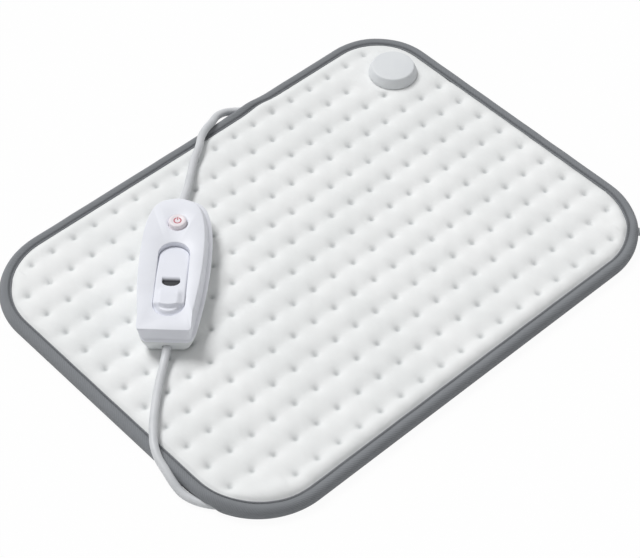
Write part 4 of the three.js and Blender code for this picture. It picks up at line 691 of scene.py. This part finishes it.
def tape_section():
    """The folded tape, its outer face and then its inner one: along the lower side, round the fold in a half
    ellipse, and down a slope on the upper side. The outer face dips where the stitches draw it down. It also
    tells which points are on the outer face."""
    turn = np.linspace(-math.pi / 2, math.pi / 2, 15)
    middle = BINDING_HEIGHT / 2
    flat = np.linspace(BINDING_FOLD, BINDING_WIDTH, 12)[1:]
    slope = 1.15 * ((flat - BINDING_FOLD) / (BINDING_WIDTH - BINDING_FOLD)) ** 1.3
    faces = []
    for wall in (0.0, BINDING_WALL):
        fold_x = BINDING_FOLD - (BINDING_FOLD - wall) * np.cos(turn)
        fold_y = middle + (middle - wall) * np.sin(turn)
        faces.append(np.stack([
            np.concatenate([flat[::-1], fold_x, flat]),
            np.concatenate([np.full(len(flat), wall), fold_y, BINDING_HEIGHT - wall - slope])], -1))
    section = np.concatenate([faces[0], faces[1][::-1]])
    outer = np.repeat([1, 0], len(faces[0]))
    dip = 0.5 * np.exp(-((section[:, 0] - SEAM_LINE) / 0.65) ** 2)
    dip += 0.25 * step_between(8.3, 8.8, section[:, 0])
    section[:, 1] -= outer * dip * np.sign(section[:, 1] - middle)
    return section, outer


section, section_outer = tape_section()
section_in, section_up = section.T
walk_x, walk_y, out_x, out_y, walk_reach, walk_run = (
    part[:, None] for part in outline_walk(np.arange(TAPE_STEPS) / TAPE_STEPS))
tape_x = walk_x + out_x * (walk_reach - section_in)
tape_y = walk_y + out_y * (walk_reach - section_in)
ripple = 0.12 * np.sin(walk_run / 5.3) * np.sin(walk_run / 31.0)
tape_z = section_up + ripple * (section_up > 5)
tape_z = tape_z + cord_swell(tape_x, tape_y) * np.clip(tape_z / BINDING_HEIGHT, 0, 1) ** 2
tape_lift = cord_roof(tape_x, tape_y)
tape_z = np.maximum(tape_z, tape_lift + 0.25 * (section_up - 5) * (tape_lift > 0.5) / 5)
outline_length = float(outline_walk(np.array([1.0]))[-1][0])
tape_run = np.arange(TAPE_STEPS + 1) / TAPE_STEPS * outline_length
section_run = run_along(np.concatenate([section, section[:1]]))
uv_grid = np.stack(np.meshgrid(tape_run, section_run, indexing="ij"), -1) * MM
tape_uv = np.stack([uv_grid[:-1, :-1], uv_grid[:-1, 1:], uv_grid[1:, 1:], uv_grid[1:, :-1]], 2)
weave = Finish("grey woven tape", Sheen_Weight=0.1, Specular_IOR_Level=0.25)
weave_place = weave.place(uv=True)
weave_yarns = (weave.waves("DIAGONAL", 330.0, weave_place) * 0.6
               + weave.waves("X", 620.0, weave_place, distortion=0.8) * 0.4)
weave_colour = weave.colour(weave_yarns * 0.6 + weave.grain(24.0, 3.0) * 0.4,
                            tint(121, 124, 128), tint(146, 149, 153))
# The tape is painted darker (84, 87, 91) along its seam line: painted shade in the stitched groove.
tape_finish = weave.shade(
    Base_Color=weave.colour(weave.painted("seam_groove_shade") * 0.8, weave_colour, tint(84, 87, 91)),
    Roughness=0.78 + 0.12 * (weave_yarns - 0.5),
    Normal=weave.relief(weave_yarns, 0.0002))
tape = loft("edge_tape", np.stack([tape_x, tape_y, tape_z], -1), looped=True, uv=tape_uv.reshape(-1, 4, 2))
seam_groove_shade_shares = np.exp(-((section_in - SEAM_LINE) / 0.75) ** 2) * section_outer
paint(tape, "seam_groove_shade", np.tile(seam_groove_shade_shares, TAPE_STEPS))
set_on(tape, "binding", tape_finish, "edge_binding")
STITCH_PITCH, STITCH_LENGTH, STITCH_RADIUS = 3.0, 2.2, 0.34


def stitch_row(name, height):
    """Stitches along the seam line: each a spindle of six rings of six points, half sunk in the tape."""
    count = round(outline_length / STITCH_PITCH)
    middle_x, middle_y, side_x, side_y, reach, _ = outline_walk((np.arange(count) + 0.5) / count)
    x = middle_x + side_x * (reach - SEAM_LINE)
    y = middle_y + side_y * (reach - SEAM_LINE)
    z = np.maximum(height + cord_swell(x, y) * (height > 5), cord_roof(x, y) + 0.2)
    centre = np.stack([x, y, z], -1)
    along = np.stack([-side_y, side_x, np.zeros(count)], -1)
    across = np.stack([side_x, side_y, np.zeros(count)], -1)
    share = np.linspace(-1, 1, 6)
    thick = STITCH_RADIUS * np.sqrt(np.clip(1.05 - share ** 2, 0, 1))
    angle = np.linspace(0, 2 * math.pi, 6, endpoint=False)
    ring = (centre[:, None, None] + along[:, None, None] * (share * STITCH_LENGTH / 2)[None, :, None, None]
            + across[:, None, None] * (thick[:, None] * np.cos(angle))[None, :, :, None]
            + np.array([0, 0, 1.0]) * (thick[:, None] * np.sin(angle))[None, :, :, None])
    ends = np.array([[3, 2, 1, 0], [5, 4, 3, 0], [31, 32, 33, 30], [33, 34, 35, 30]])
    one = np.concatenate([loft_faces(6, 6, capped=False), ends])
    faces = (one[None] + (np.arange(count) * 36)[:, None, None]).reshape(-1, 4)
    return mesh_piece(name, ring.reshape(-1, 3), faces)


thread_finish = moulded("grey thread", (112, 114, 118), (98, 100, 104), 0.7)
set_on(stitch_row("top_stitches", 8.98), "binding", thread_finish)
set_on(stitch_row("under_stitches", 0.5), "binding", thread_finish)


# The coupling: a round white cap on the cover, held through both covers by three screws to a cup below, in
# which the lead is joined to the heating wire.
CAP_FOOT, CAP_TOP, CAP_RADIUS = 11.8, 19.7, 18.5


def lathe(name, profile, centre, sides=96):
    """A profile of radius and height turned round an upright line, with both ends closed on it."""
    profile = np.asarray(profile, float)
    angle = np.linspace(0, 2 * math.pi, sides, endpoint=False)
    x = centre[0] + profile[:, :1] * np.cos(angle)
    y = centre[1] + profile[:, :1] * np.sin(angle)
    return loft(name, np.stack([x, y, np.broadcast_to(profile[:, 1:], x.shape)], -1))


def rounded_profile(corners, radii):
    """A line through the corners, each with a radius cut off by a square Bezier curve of that reach."""
    corners = np.asarray(corners, float)
    line = [corners[:1]]
    t = np.linspace(0, 1, 6)[:, None]
    for before, here, after, radius in zip(corners, corners[1:], corners[2:], radii[1:]):
        back, on = np.linalg.norm(before - here), np.linalg.norm(after - here)
        reach = min(radius, back * 0.49, on * 0.49)
        start = here + (before - here) / back * reach
        end = here + (after - here) / on * reach
        line.append((1 - t) ** 2 * start + 2 * t * (1 - t) * here + t * t * end if radius else here[None])
    return np.concatenate(line + [corners[-1:]])


cap_profile = rounded_profile(
    [[0.01, CAP_TOP - 2.2], [13.2, CAP_TOP - 2.2], [16.7, CAP_FOOT + 1.9], [16.7, CAP_FOOT],
     [CAP_RADIUS, CAP_FOOT], [CAP_RADIUS, CAP_FOOT + 1.9], [15.9, CAP_TOP], [0.01, CAP_TOP + 0.15]],
    [0, 0, 0, 0, 0.4, 1.2, 1.0, 0])
cap_finish = moulded("white cap ABS", (228, 231, 233), (223, 226, 229), 0.44, Specular_IOR_Level=0.45)
set_on(lathe("coupling_lid", cap_profile, COUPLING), "coupling", cap_finish, "coupling_cap")
dress(cap_finish, "coupling_base")
steel_finish = moulded("bright steel", (172, 174, 178), (150, 152, 156), 0.32, Metallic=1.0)
dress(steel_finish, "coupling_screw_1", "coupling_screw_2", "coupling_screw_3", "coupling_clamp")
dress(cord_finish, "lead_relief", "coupling_terminal")


# The hand control's lower shell: a white tub that takes the board, the four shell screws' heads and both
# cords, with a keel that curves in towards the pad.
CONTROL_NOSE, CONTROL_TAIL, CONTROL_WIDTH, CONTROL_HEIGHT = 64.7, 66.3, 50.0, 23.3
SEAM_LOW, SEAM_HIGH = 12.3, 12.6
STATION_SHARES = [1, .991, .968, .93, .872, .796, .697, .582, .46, .338, .216, .109, .045, .012, 0]
WIDTH_SHARES = [0, .23, .53, .706, .826, .921, .979, 1, .994, .955, .891, .812, .745, .66, .54]


def smooth_half_outline():
    """Station and half width from nose to tail: the cords' smooth curve through the CAD's points, taken at 72
    equal steps along the outline, so that nose and tail are as finely divided as the sides."""
    s = np.array(STATION_SHARES) * (CONTROL_NOSE + CONTROL_TAIL)
    t = np.array(WIDTH_SHARES) * CONTROL_WIDTH / 2
    line = smooth_route(np.stack([s, t, 0 * s], -1), 0.4)
    run = run_along(line)
    places = np.linspace(0, run[-1], 72)
    stations, widths = (np.interp(places, run, line[:, k]) for k in range(2))
    return stations - CONTROL_TAIL, np.maximum(widths, 0)


half_s, half_t = smooth_half_outline()


def control_ring(height, side, nose, tail, lean=0.0, square=0.0):
    """The control's outline at a height, drawn in by that much at its sides, nose and tail. With a lean it
    also moves across by that share of the side inset, and its tail keeps at least the square's half width."""
    s = half_s * np.where(half_s > 0, 1 - nose / CONTROL_NOSE, 1 - tail / CONTROL_TAIL)
    t = half_t * (1 - 2 * side / CONTROL_WIDTH)
    corner = square * (1 - 0.07 * np.clip(1 - (half_s + CONTROL_TAIL) / 2.5, 0, 1) ** 3)
    t = t + np.clip(corner - t, 0, None) * (half_s < -50) * min(1, side / 3)
    return from_control(np.append(s, s[:0:-1]), np.append(t, -t[:0:-1]) + lean * side, height)


def control_loft(name, levels, lean=0.0, square=0.0):
    """The outlines at each level, joined from the lowest to the highest, with flat ends."""
    return loft(name, [control_ring(*level, lean, square) for level in levels])


def cut_out(piece, *cutters):
    """Takes each cutter's solid out of the piece, and removes the cutter."""
    for cutter in cutters:
        carve = piece.modifiers.new("cut", "BOOLEAN")
        carve.operation, carve.solver, carve.object = "DIFFERENCE", "EXACT", cutter
        bpy.context.view_layer.objects.active = piece
        with bpy.context.temp_override(object=piece, active_object=piece, selected_objects=[piece]):
            bpy.ops.object.modifier_apply(modifier=carve.name)
        bpy.data.objects.remove(cutter)


def smooth_by_angle(piece, angle=30.0):
    """Keeps edges sharper than the angle crisp and shades the rest smooth."""
    mesh = piece.data
    mesh.polygons.foreach_set("use_smooth", np.ones(len(mesh.polygons), bool))
    mesh.set_sharp_from_angle(angle=math.radians(angle))


def drum_at(s, t, low, high, radius):
    """A round cutter at a place on the control, from one height to another."""
    x, y, foot = from_control(s, t, 0)
    return lathe("cutter", [[radius, low + foot], [radius, high + foot]], (x, y), 64)


def cord_hole(from_s, to_s):
    """A round cutter along the control's axis at the cords' height."""
    line = from_control(np.linspace(from_s, to_s, 5), 0, CORD_ENTRY)
    return loft("cutter", tube_rings(line, CORD / 2 + 0.3, 32))


def shell_levels(shares, low, high, insets, wall=0.0):
    """Levels of a shell from shares of its height and of its side, nose and tail insets."""
    return [[low + share[0] * (high - low)] + [inset * part + wall for inset, part in zip(insets, share[1:])]
            for share in shares]


WALL = 2.0
KEEL = (6.5, 7.8, 4.9)
KEEL_LEVELS = [
    (0, 1.06, 1.06, 1.06), (0.02, 0.96, 0.96, 0.97), (0.1, 0.74, 0.75, 0.73), (0.28, 0.5, 0.51, 0.51),
    (0.5, 0.3, 0.32, 0.32), (0.75, 0.12, 0.13, 0.13), (0.94, 0.02, 0.02, 0.02), (1, 0.04, 0.04, 0.04)]
KEEL_HOLLOW = [(0.1, 0.74, 0.75, 0.73), (0.5, 0.3, 0.32, 0.32), (1, 0, 0, 0)]
SHELL_SCREWS = [(49.5, 10.0), (49.5, -10.0), (-57.0, 11.8), (-57.0, -11.8)]
low_shell = control_loft("lower_shell", shell_levels(KEEL_LEVELS, 0, SEAM_LOW, KEEL))
low_hollow = control_loft("cutter", shell_levels(KEEL_HOLLOW, WALL, SEAM_LOW, KEEL, WALL)
                          + [[SEAM_LOW + 3, WALL, WALL, WALL]])
cut_out(low_shell, low_hollow, cord_hole(50, 80), cord_hole(-80, -52),
        *[drum_at(s, t, -3, 2.2, 2.6) for s, t in SHELL_SCREWS])
smooth_by_angle(low_shell)
low_finish = moulded("white lower ABS", (222, 225, 226), (217, 220, 221), 0.45, Specular_IOR_Level=0.4)
set_on(low_shell, "shell", low_finish, "control_bottom_shell")


# The upper shell: a ledge round the seam and a steep wall up to a flat face that stands towards the left,
# with a dished hole for the power button and a long well with a skirt for the rocker.
FACE, FACE_LEAN, TAIL_SQUARE = (3.4, 9.0, 2.4), 0.5, 18.25
FACE_LEVELS = [
    (0.541, 0, 0, 0), (0.558, 0, 0, 0), (0.58, 0.08, 0.04, 0.1), (0.612, 0.4, 0.26, 0.42),
    (0.624, 0.5, 0.33, 0.54), (0.634, 0.54, 0.36, 0.58), (0.66, 0.56, 0.38, 0.6), (0.88, 0.78, 0.7, 0.82),
    (0.953, 0.875, 0.85, 0.92), (0.979, 0.93, 0.92, 0.96), (0.9935, 1.0, 0.985, 1.02), (1, 1.08, 1.05, 1.14)]
FACE_HOLLOW = [(0.83, 0.44, 0.33, 0.38)]
DISH_PROFILE = [(0.3, -CONTROL_HEIGHT), (0.3, -1.5), (0.45, -1.15), (0.9, -0.65), (1.5, -0.2), (2.1, 0),
                (2.1, 3)]
WELL_LEVELS = [(-CONTROL_HEIGHT, 0), (-0.9, 0), (-0.5, 0.07), (-0.2, 0.24), (0, 0.6), (3, 0.6)]
SKIRT_LOW, SKIRT_HIGH, SKIRT_GAP, SKIRT_WALL = 16.5, CONTROL_HEIGHT - WALL + 0.1, 0.02, 1.3
ROCKER_S, WELL_LENGTH, WELL_WIDTH = -18.6, 66.4, 21.6
POWER_S, POWER_RADIUS = 33.0, 6.3


def well_loft(name, levels, looped=False):
    """Rings on the well's outline, which has two straight sides and round ends, joined in turn. Each level is
    a height and how much wider its ring is on each side."""
    turn = np.linspace(-math.pi / 2, math.pi / 2, 24)
    rings = []
    for height, grow in levels:
        radius = (WELL_WIDTH + 2 * grow) / 2
        reach = (WELL_LENGTH + 2 * grow) / 2 - radius
        s = np.concatenate([reach + radius * np.cos(turn), -reach - radius * np.cos(turn)]) + ROCKER_S
        t = np.concatenate([radius * np.sin(turn), -radius * np.sin(turn)])
        rings.append(from_control(s, t, height))
    return loft(name, rings, looped)


top_shell = control_loft("upper_shell", shell_levels(FACE_LEVELS, 0, CONTROL_HEIGHT, FACE), FACE_LEAN,
                         TAIL_SQUARE)
top_hollow = control_loft("cutter", [[SEAM_HIGH - 3, WALL, WALL, WALL], [SEAM_HIGH, WALL, WALL, WALL]]
                          + shell_levels(FACE_HOLLOW, 0, CONTROL_HEIGHT, FACE, WALL)
                          + [[CONTROL_HEIGHT - WALL] + [inset + WALL / 2 for inset in FACE]],
                          0.9 * FACE_LEAN, TAIL_SQUARE - 1.6 * WALL)
well = well_loft("cutter", [(CONTROL_HEIGHT + height, grow) for height, grow in WELL_LEVELS])
power_place = from_control(POWER_S, 0, 0)
dish = lathe("cutter", np.array([POWER_RADIUS, CONTROL_HEIGHT]) + DISH_PROFILE + [0, power_place[2]],
             power_place[:2])
cut_out(top_shell, top_hollow, well, dish)
smooth_by_angle(top_shell)
shell_finish = moulded("white ABS", (239, 241, 248), (234, 236, 243), 0.42, Specular_IOR_Level=0.45)
set_on(top_shell, "shell", shell_finish, "control_top_shell")
well_skirt = well_loft("well_skirt", [
    (SKIRT_LOW, SKIRT_WALL), (SKIRT_HIGH, SKIRT_WALL), (SKIRT_HIGH, SKIRT_GAP), (SKIRT_LOW, SKIRT_GAP)],
    looped=True)
smooth_by_angle(well_skirt)
set_on(well_skirt, "shell", shell_finish)


# Inside the hand control: a green board with its relay, capacitors, chip, fuse and terminals, the rubber
# domes under the button and the rocker, and the clamps that hold both cords.
board_finish = moulded("board lacquer", (28, 92, 58), (22, 78, 50), 0.35)
rubber_finish = moulded("silicone rubber", (58, 60, 64), (48, 50, 54), 0.6)
brass_finish = moulded("brass", (196, 164, 92), (176, 144, 78), 0.3, Metallic=1.0)
dress(board_finish, "circuit_board")
dress(rubber_finish, "power_dome", "hotter_dome", "cooler_dome", "coil_tie")
for dome, joint, travel in (("power_dome", "power_press", 1.1), ("hotter_dome", "temperature_tilt", 1.25),
                            ("cooler_dome", "temperature_tilt", 1.25)):
    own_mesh(node[dome])
dress(part_finish, "relay", "suppression_capacitor", "control_chip", "reservoir_capacitor")
dress(brass_finish, "fuse", "plug_pin_1", "plug_pin_2")
dress(steel_finish, "rocker_pin", *[f"shell_screw_{k}" for k in range(1, 5)],
      *[f"clamp_screw_{k}" for k in range(1, 5)])
dress(cord_finish, "mains_terminal", "pad_terminal", "pad_clamp", "mains_clamp")


# The power button: a round white cap that stands out of its dish, with a shallow hollow on top and a red
# power sign printed in it.
button_profile = rounded_profile(
    [[0.01, 16.7], [2.5, 16.7], [2.5, 19.4], [7.6, 19.4], [7.6, 21.0], [POWER_RADIUS, 21.0],
     [POWER_RADIUS, CONTROL_HEIGHT + 1.2], [POWER_RADIUS - 0.6, CONTROL_HEIGHT + 2.2],
     [POWER_RADIUS - 1.6, CONTROL_HEIGHT + 2.4], [POWER_RADIUS - 3.3, CONTROL_HEIGHT + 2.0],
     [0.01, CONTROL_HEIGHT + 1.85]],
    [0, 0, 0, 0, 0, 0, 0.8, 0.6, 0.5, 1.4, 0]) + [0, power_place[2]]
button = Finish("white button ABS", Specular_IOR_Level=0.45)
button_spot = button.node("ShaderNodeMapping", {"vector_type": "TEXTURE"}, {
    "Vector": button.node("ShaderNodeTexCoord", output=3),
    "Location": (power_place[0] * MM, power_place[1] * MM, 0), "Rotation": (0, 0, AXIS_TURN)})
sign_s = button.node("ShaderNodeSeparateXYZ", None, {0: button_spot})
sign_t = abs(Value(button, sign_s.socket.node.outputs[1]))
sign_radius = (sign_s * sign_s + sign_t * sign_t) ** 0.5
sign_gap = sign_s.between(0.0009, 0.0011) * (1 - sign_t.between(0.0007, 0.0009))
sign_ring = sign_radius.between(0.00185, 0.0021) * (1 - sign_radius.between(0.0027, 0.00295)) * (1 - sign_gap)
sign_bar = sign_s.between(0.0004, 0.0006) * (1 - sign_s.between(0.0032, 0.0034)) * (
    1 - sign_t.between(0.00025, 0.00045))
power_sign = sign_ring.math("MAXIMUM", sign_ring, sign_bar)
button_fine = button.grain(PLASTIC_GRAIN)
button_colour = button.colour(button.grain(60.0), tint(238, 230, 235), tint(244, 238, 241))
button_finish = button.shade(
    Base_Color=button.colour(power_sign, button_colour, tint(190, 84, 100)),
    Roughness=0.4 + 0.1 * (button_fine - 0.5),
    Normal=button.relief(button_fine, 0.00003))
set_on(lathe("power_cap", button_profile, power_place[:2]), "button", button_finish, "power_button",
       body="power_button")


# The temperature rocker: a long white key on a cross pin. Its nose end lies sunk in the well, a soft tongue
# stands on its tail end, and a dark window sits in a thumb pit between them, under the tongue's lip.
# The pit's floor is painted the window's dark, and that dark fades up the pit's ramp as painted shade.
ROCKER_LENGTH, ROCKER_WIDTH, ROCKER_LOW = 65.6, 21.3, 15.0
WINDOW_S, TONGUE_END, TONGUE_ROUND = -21.2, -44.8, 14.5
SPINE_STATIONS = [-52, -44, -34, -25, -19, -12, -4, 4, 11, 15]
SPINE_HEIGHTS = [1.7, 1.7, 1.3, 0.4, 0.1, -0.4, -1.5, -2.7, -3.8, -4.3]
PIN_HEIGHT, PIN_HOLE = 17.3, 1.55
ROCKER_HOLLOWS = [(4.5, 19.5, 8.5, 16.8), (24.5, 29, 5.7, 16.8), (-19.5, -4.5, 8.5, 18.7),
                  (-29, -24.5, 5.7, 18.7)]


def past_straight(s):
    """How far a station lies beyond the rocker's straight sides, in one of its round ends."""
    return np.maximum(np.abs(s - ROCKER_S) - (ROCKER_LENGTH - ROCKER_WIDTH) / 2, 0)


def rocker_edge(s, t):
    """How far a point lies inside the rocker's plan, which has two straight sides and round ends."""
    return ROCKER_WIDTH / 2 - np.hypot(past_straight(s), t)


def pit_share(s, t):
    """1 on the pit's floor, a half-moon: a short ramp on its straight nose side, a sharp round edge on its
    tail side."""
    edge = 1 - (np.minimum(s - WINDOW_S, 0) / 4.9) ** 2 - (t / 6.4) ** 2
    return step_between(0, 0.25, edge) * (1 - step_between(WINDOW_S + 0.4, WINDOW_S + 4.4, s))


def rocker_height(s, t):
    """Above the face: a slow rise from the sunk nose to the level middle and the proud tail, the tongue with
    soft flanks and a steep round end, a ledge beyond it that steps down to the well, the pit, and a rounded
    rim."""
    flank = step_between(0, 4.6, 9.8 - np.abs(t))
    top = np.interp(s, SPINE_STATIONS, SPINE_HEIGHTS) + 2.5 * flank * (1 - step_between(-36, -26.5, s))
    inside = TONGUE_ROUND - np.hypot(np.minimum(s - TONGUE_END - TONGUE_ROUND, 0), t)
    ledge = 1.1 - 2.4 * (1 - step_between(0.7, 3.2, rocker_edge(s, t))) * (1 - step_between(-45, -40, s))
    terrace = np.where(s < -36, ledge + (top - ledge) * step_between(-1.9, 0, inside), top)
    rim = np.clip(1 - rocker_edge(s, t) / 1.3, 0, 1)
    return terrace - 2.8 * pit_share(s, t) - 1.3 * (1 - np.sqrt(np.clip(1 - rim ** 2, 0, 1)))


def cross_block(low_s, high_s, reach, roof):
    """A box-shaped cutter across the control, between two stations and from its foot up to a height."""
    along, across = [low_s, high_s, high_s, low_s], [-reach, -reach, reach, reach]
    return loft("cutter", [from_control(along, across, height) for height in (0, roof)])


rocker_run = (1 - np.cos(np.linspace(0, math.pi, 181))) / 2 * 0.35 + np.linspace(0, 1, 181) * 0.65
rocker_s = (ROCKER_S - ROCKER_LENGTH / 2 + rocker_run * ROCKER_LENGTH)[:, None]
half_width = np.sqrt(np.clip((ROCKER_WIDTH / 2) ** 2 - past_straight(rocker_s) ** 2, 0.2, None))
rocker_t = half_width * np.sin(np.linspace(-math.pi / 2, math.pi / 2, 71))
rocker_places = from_control(rocker_s, rocker_t, CONTROL_HEIGHT + rocker_height(rocker_s, rocker_t))
rocker_x, rocker_y, rocker_z = np.moveaxis(rocker_places, -1, 0)
rocker = padded_sheet("rocker_key", rocker_x, rocker_y, ROCKER_LOW + CONTROL_PLACE[2], rocker_z)
# The pit is painted dark (34, 35, 41): the window's colour on its floor, and painted shade up its ramp.
paint(rocker, "window_and_ramp_shade", pit_share(rocker_s, rocker_t))
pin_line = from_control(ROCKER_S, np.linspace(-16, 16, 5), PIN_HEIGHT)
cut_out(rocker, *[cross_block(ROCKER_S + low, ROCKER_S + high, reach, roof)
                  for low, high, reach, roof in ROCKER_HOLLOWS],
        loft("cutter", tube_rings(pin_line, PIN_HOLE, 24)))
smooth_by_angle(rocker, 40)
rocker_finish = moulded("white rocker ABS", (236, 238, 246), (232, 234, 242), 0.42, "window_and_ramp_shade", (34, 35, 41),
                        Specular_IOR_Level=0.45)
set_on(rocker, "button", rocker_finish, "temperature_rocker", body="temperature_rocker")
lens_finish = moulded("smoked window", (34, 35, 40), (27, 28, 33), 0.3)
dress(lens_finish, "level_lens")


# The plug: a flat two-pin mains plug moulded on the cord, with a tapered boot, lying beside the tied coil.
plug_finish = moulded("white plug PVC", (214, 216, 219), (206, 208, 212), 0.42)
dress(plug_finish, "plug_boot", "plug_body")
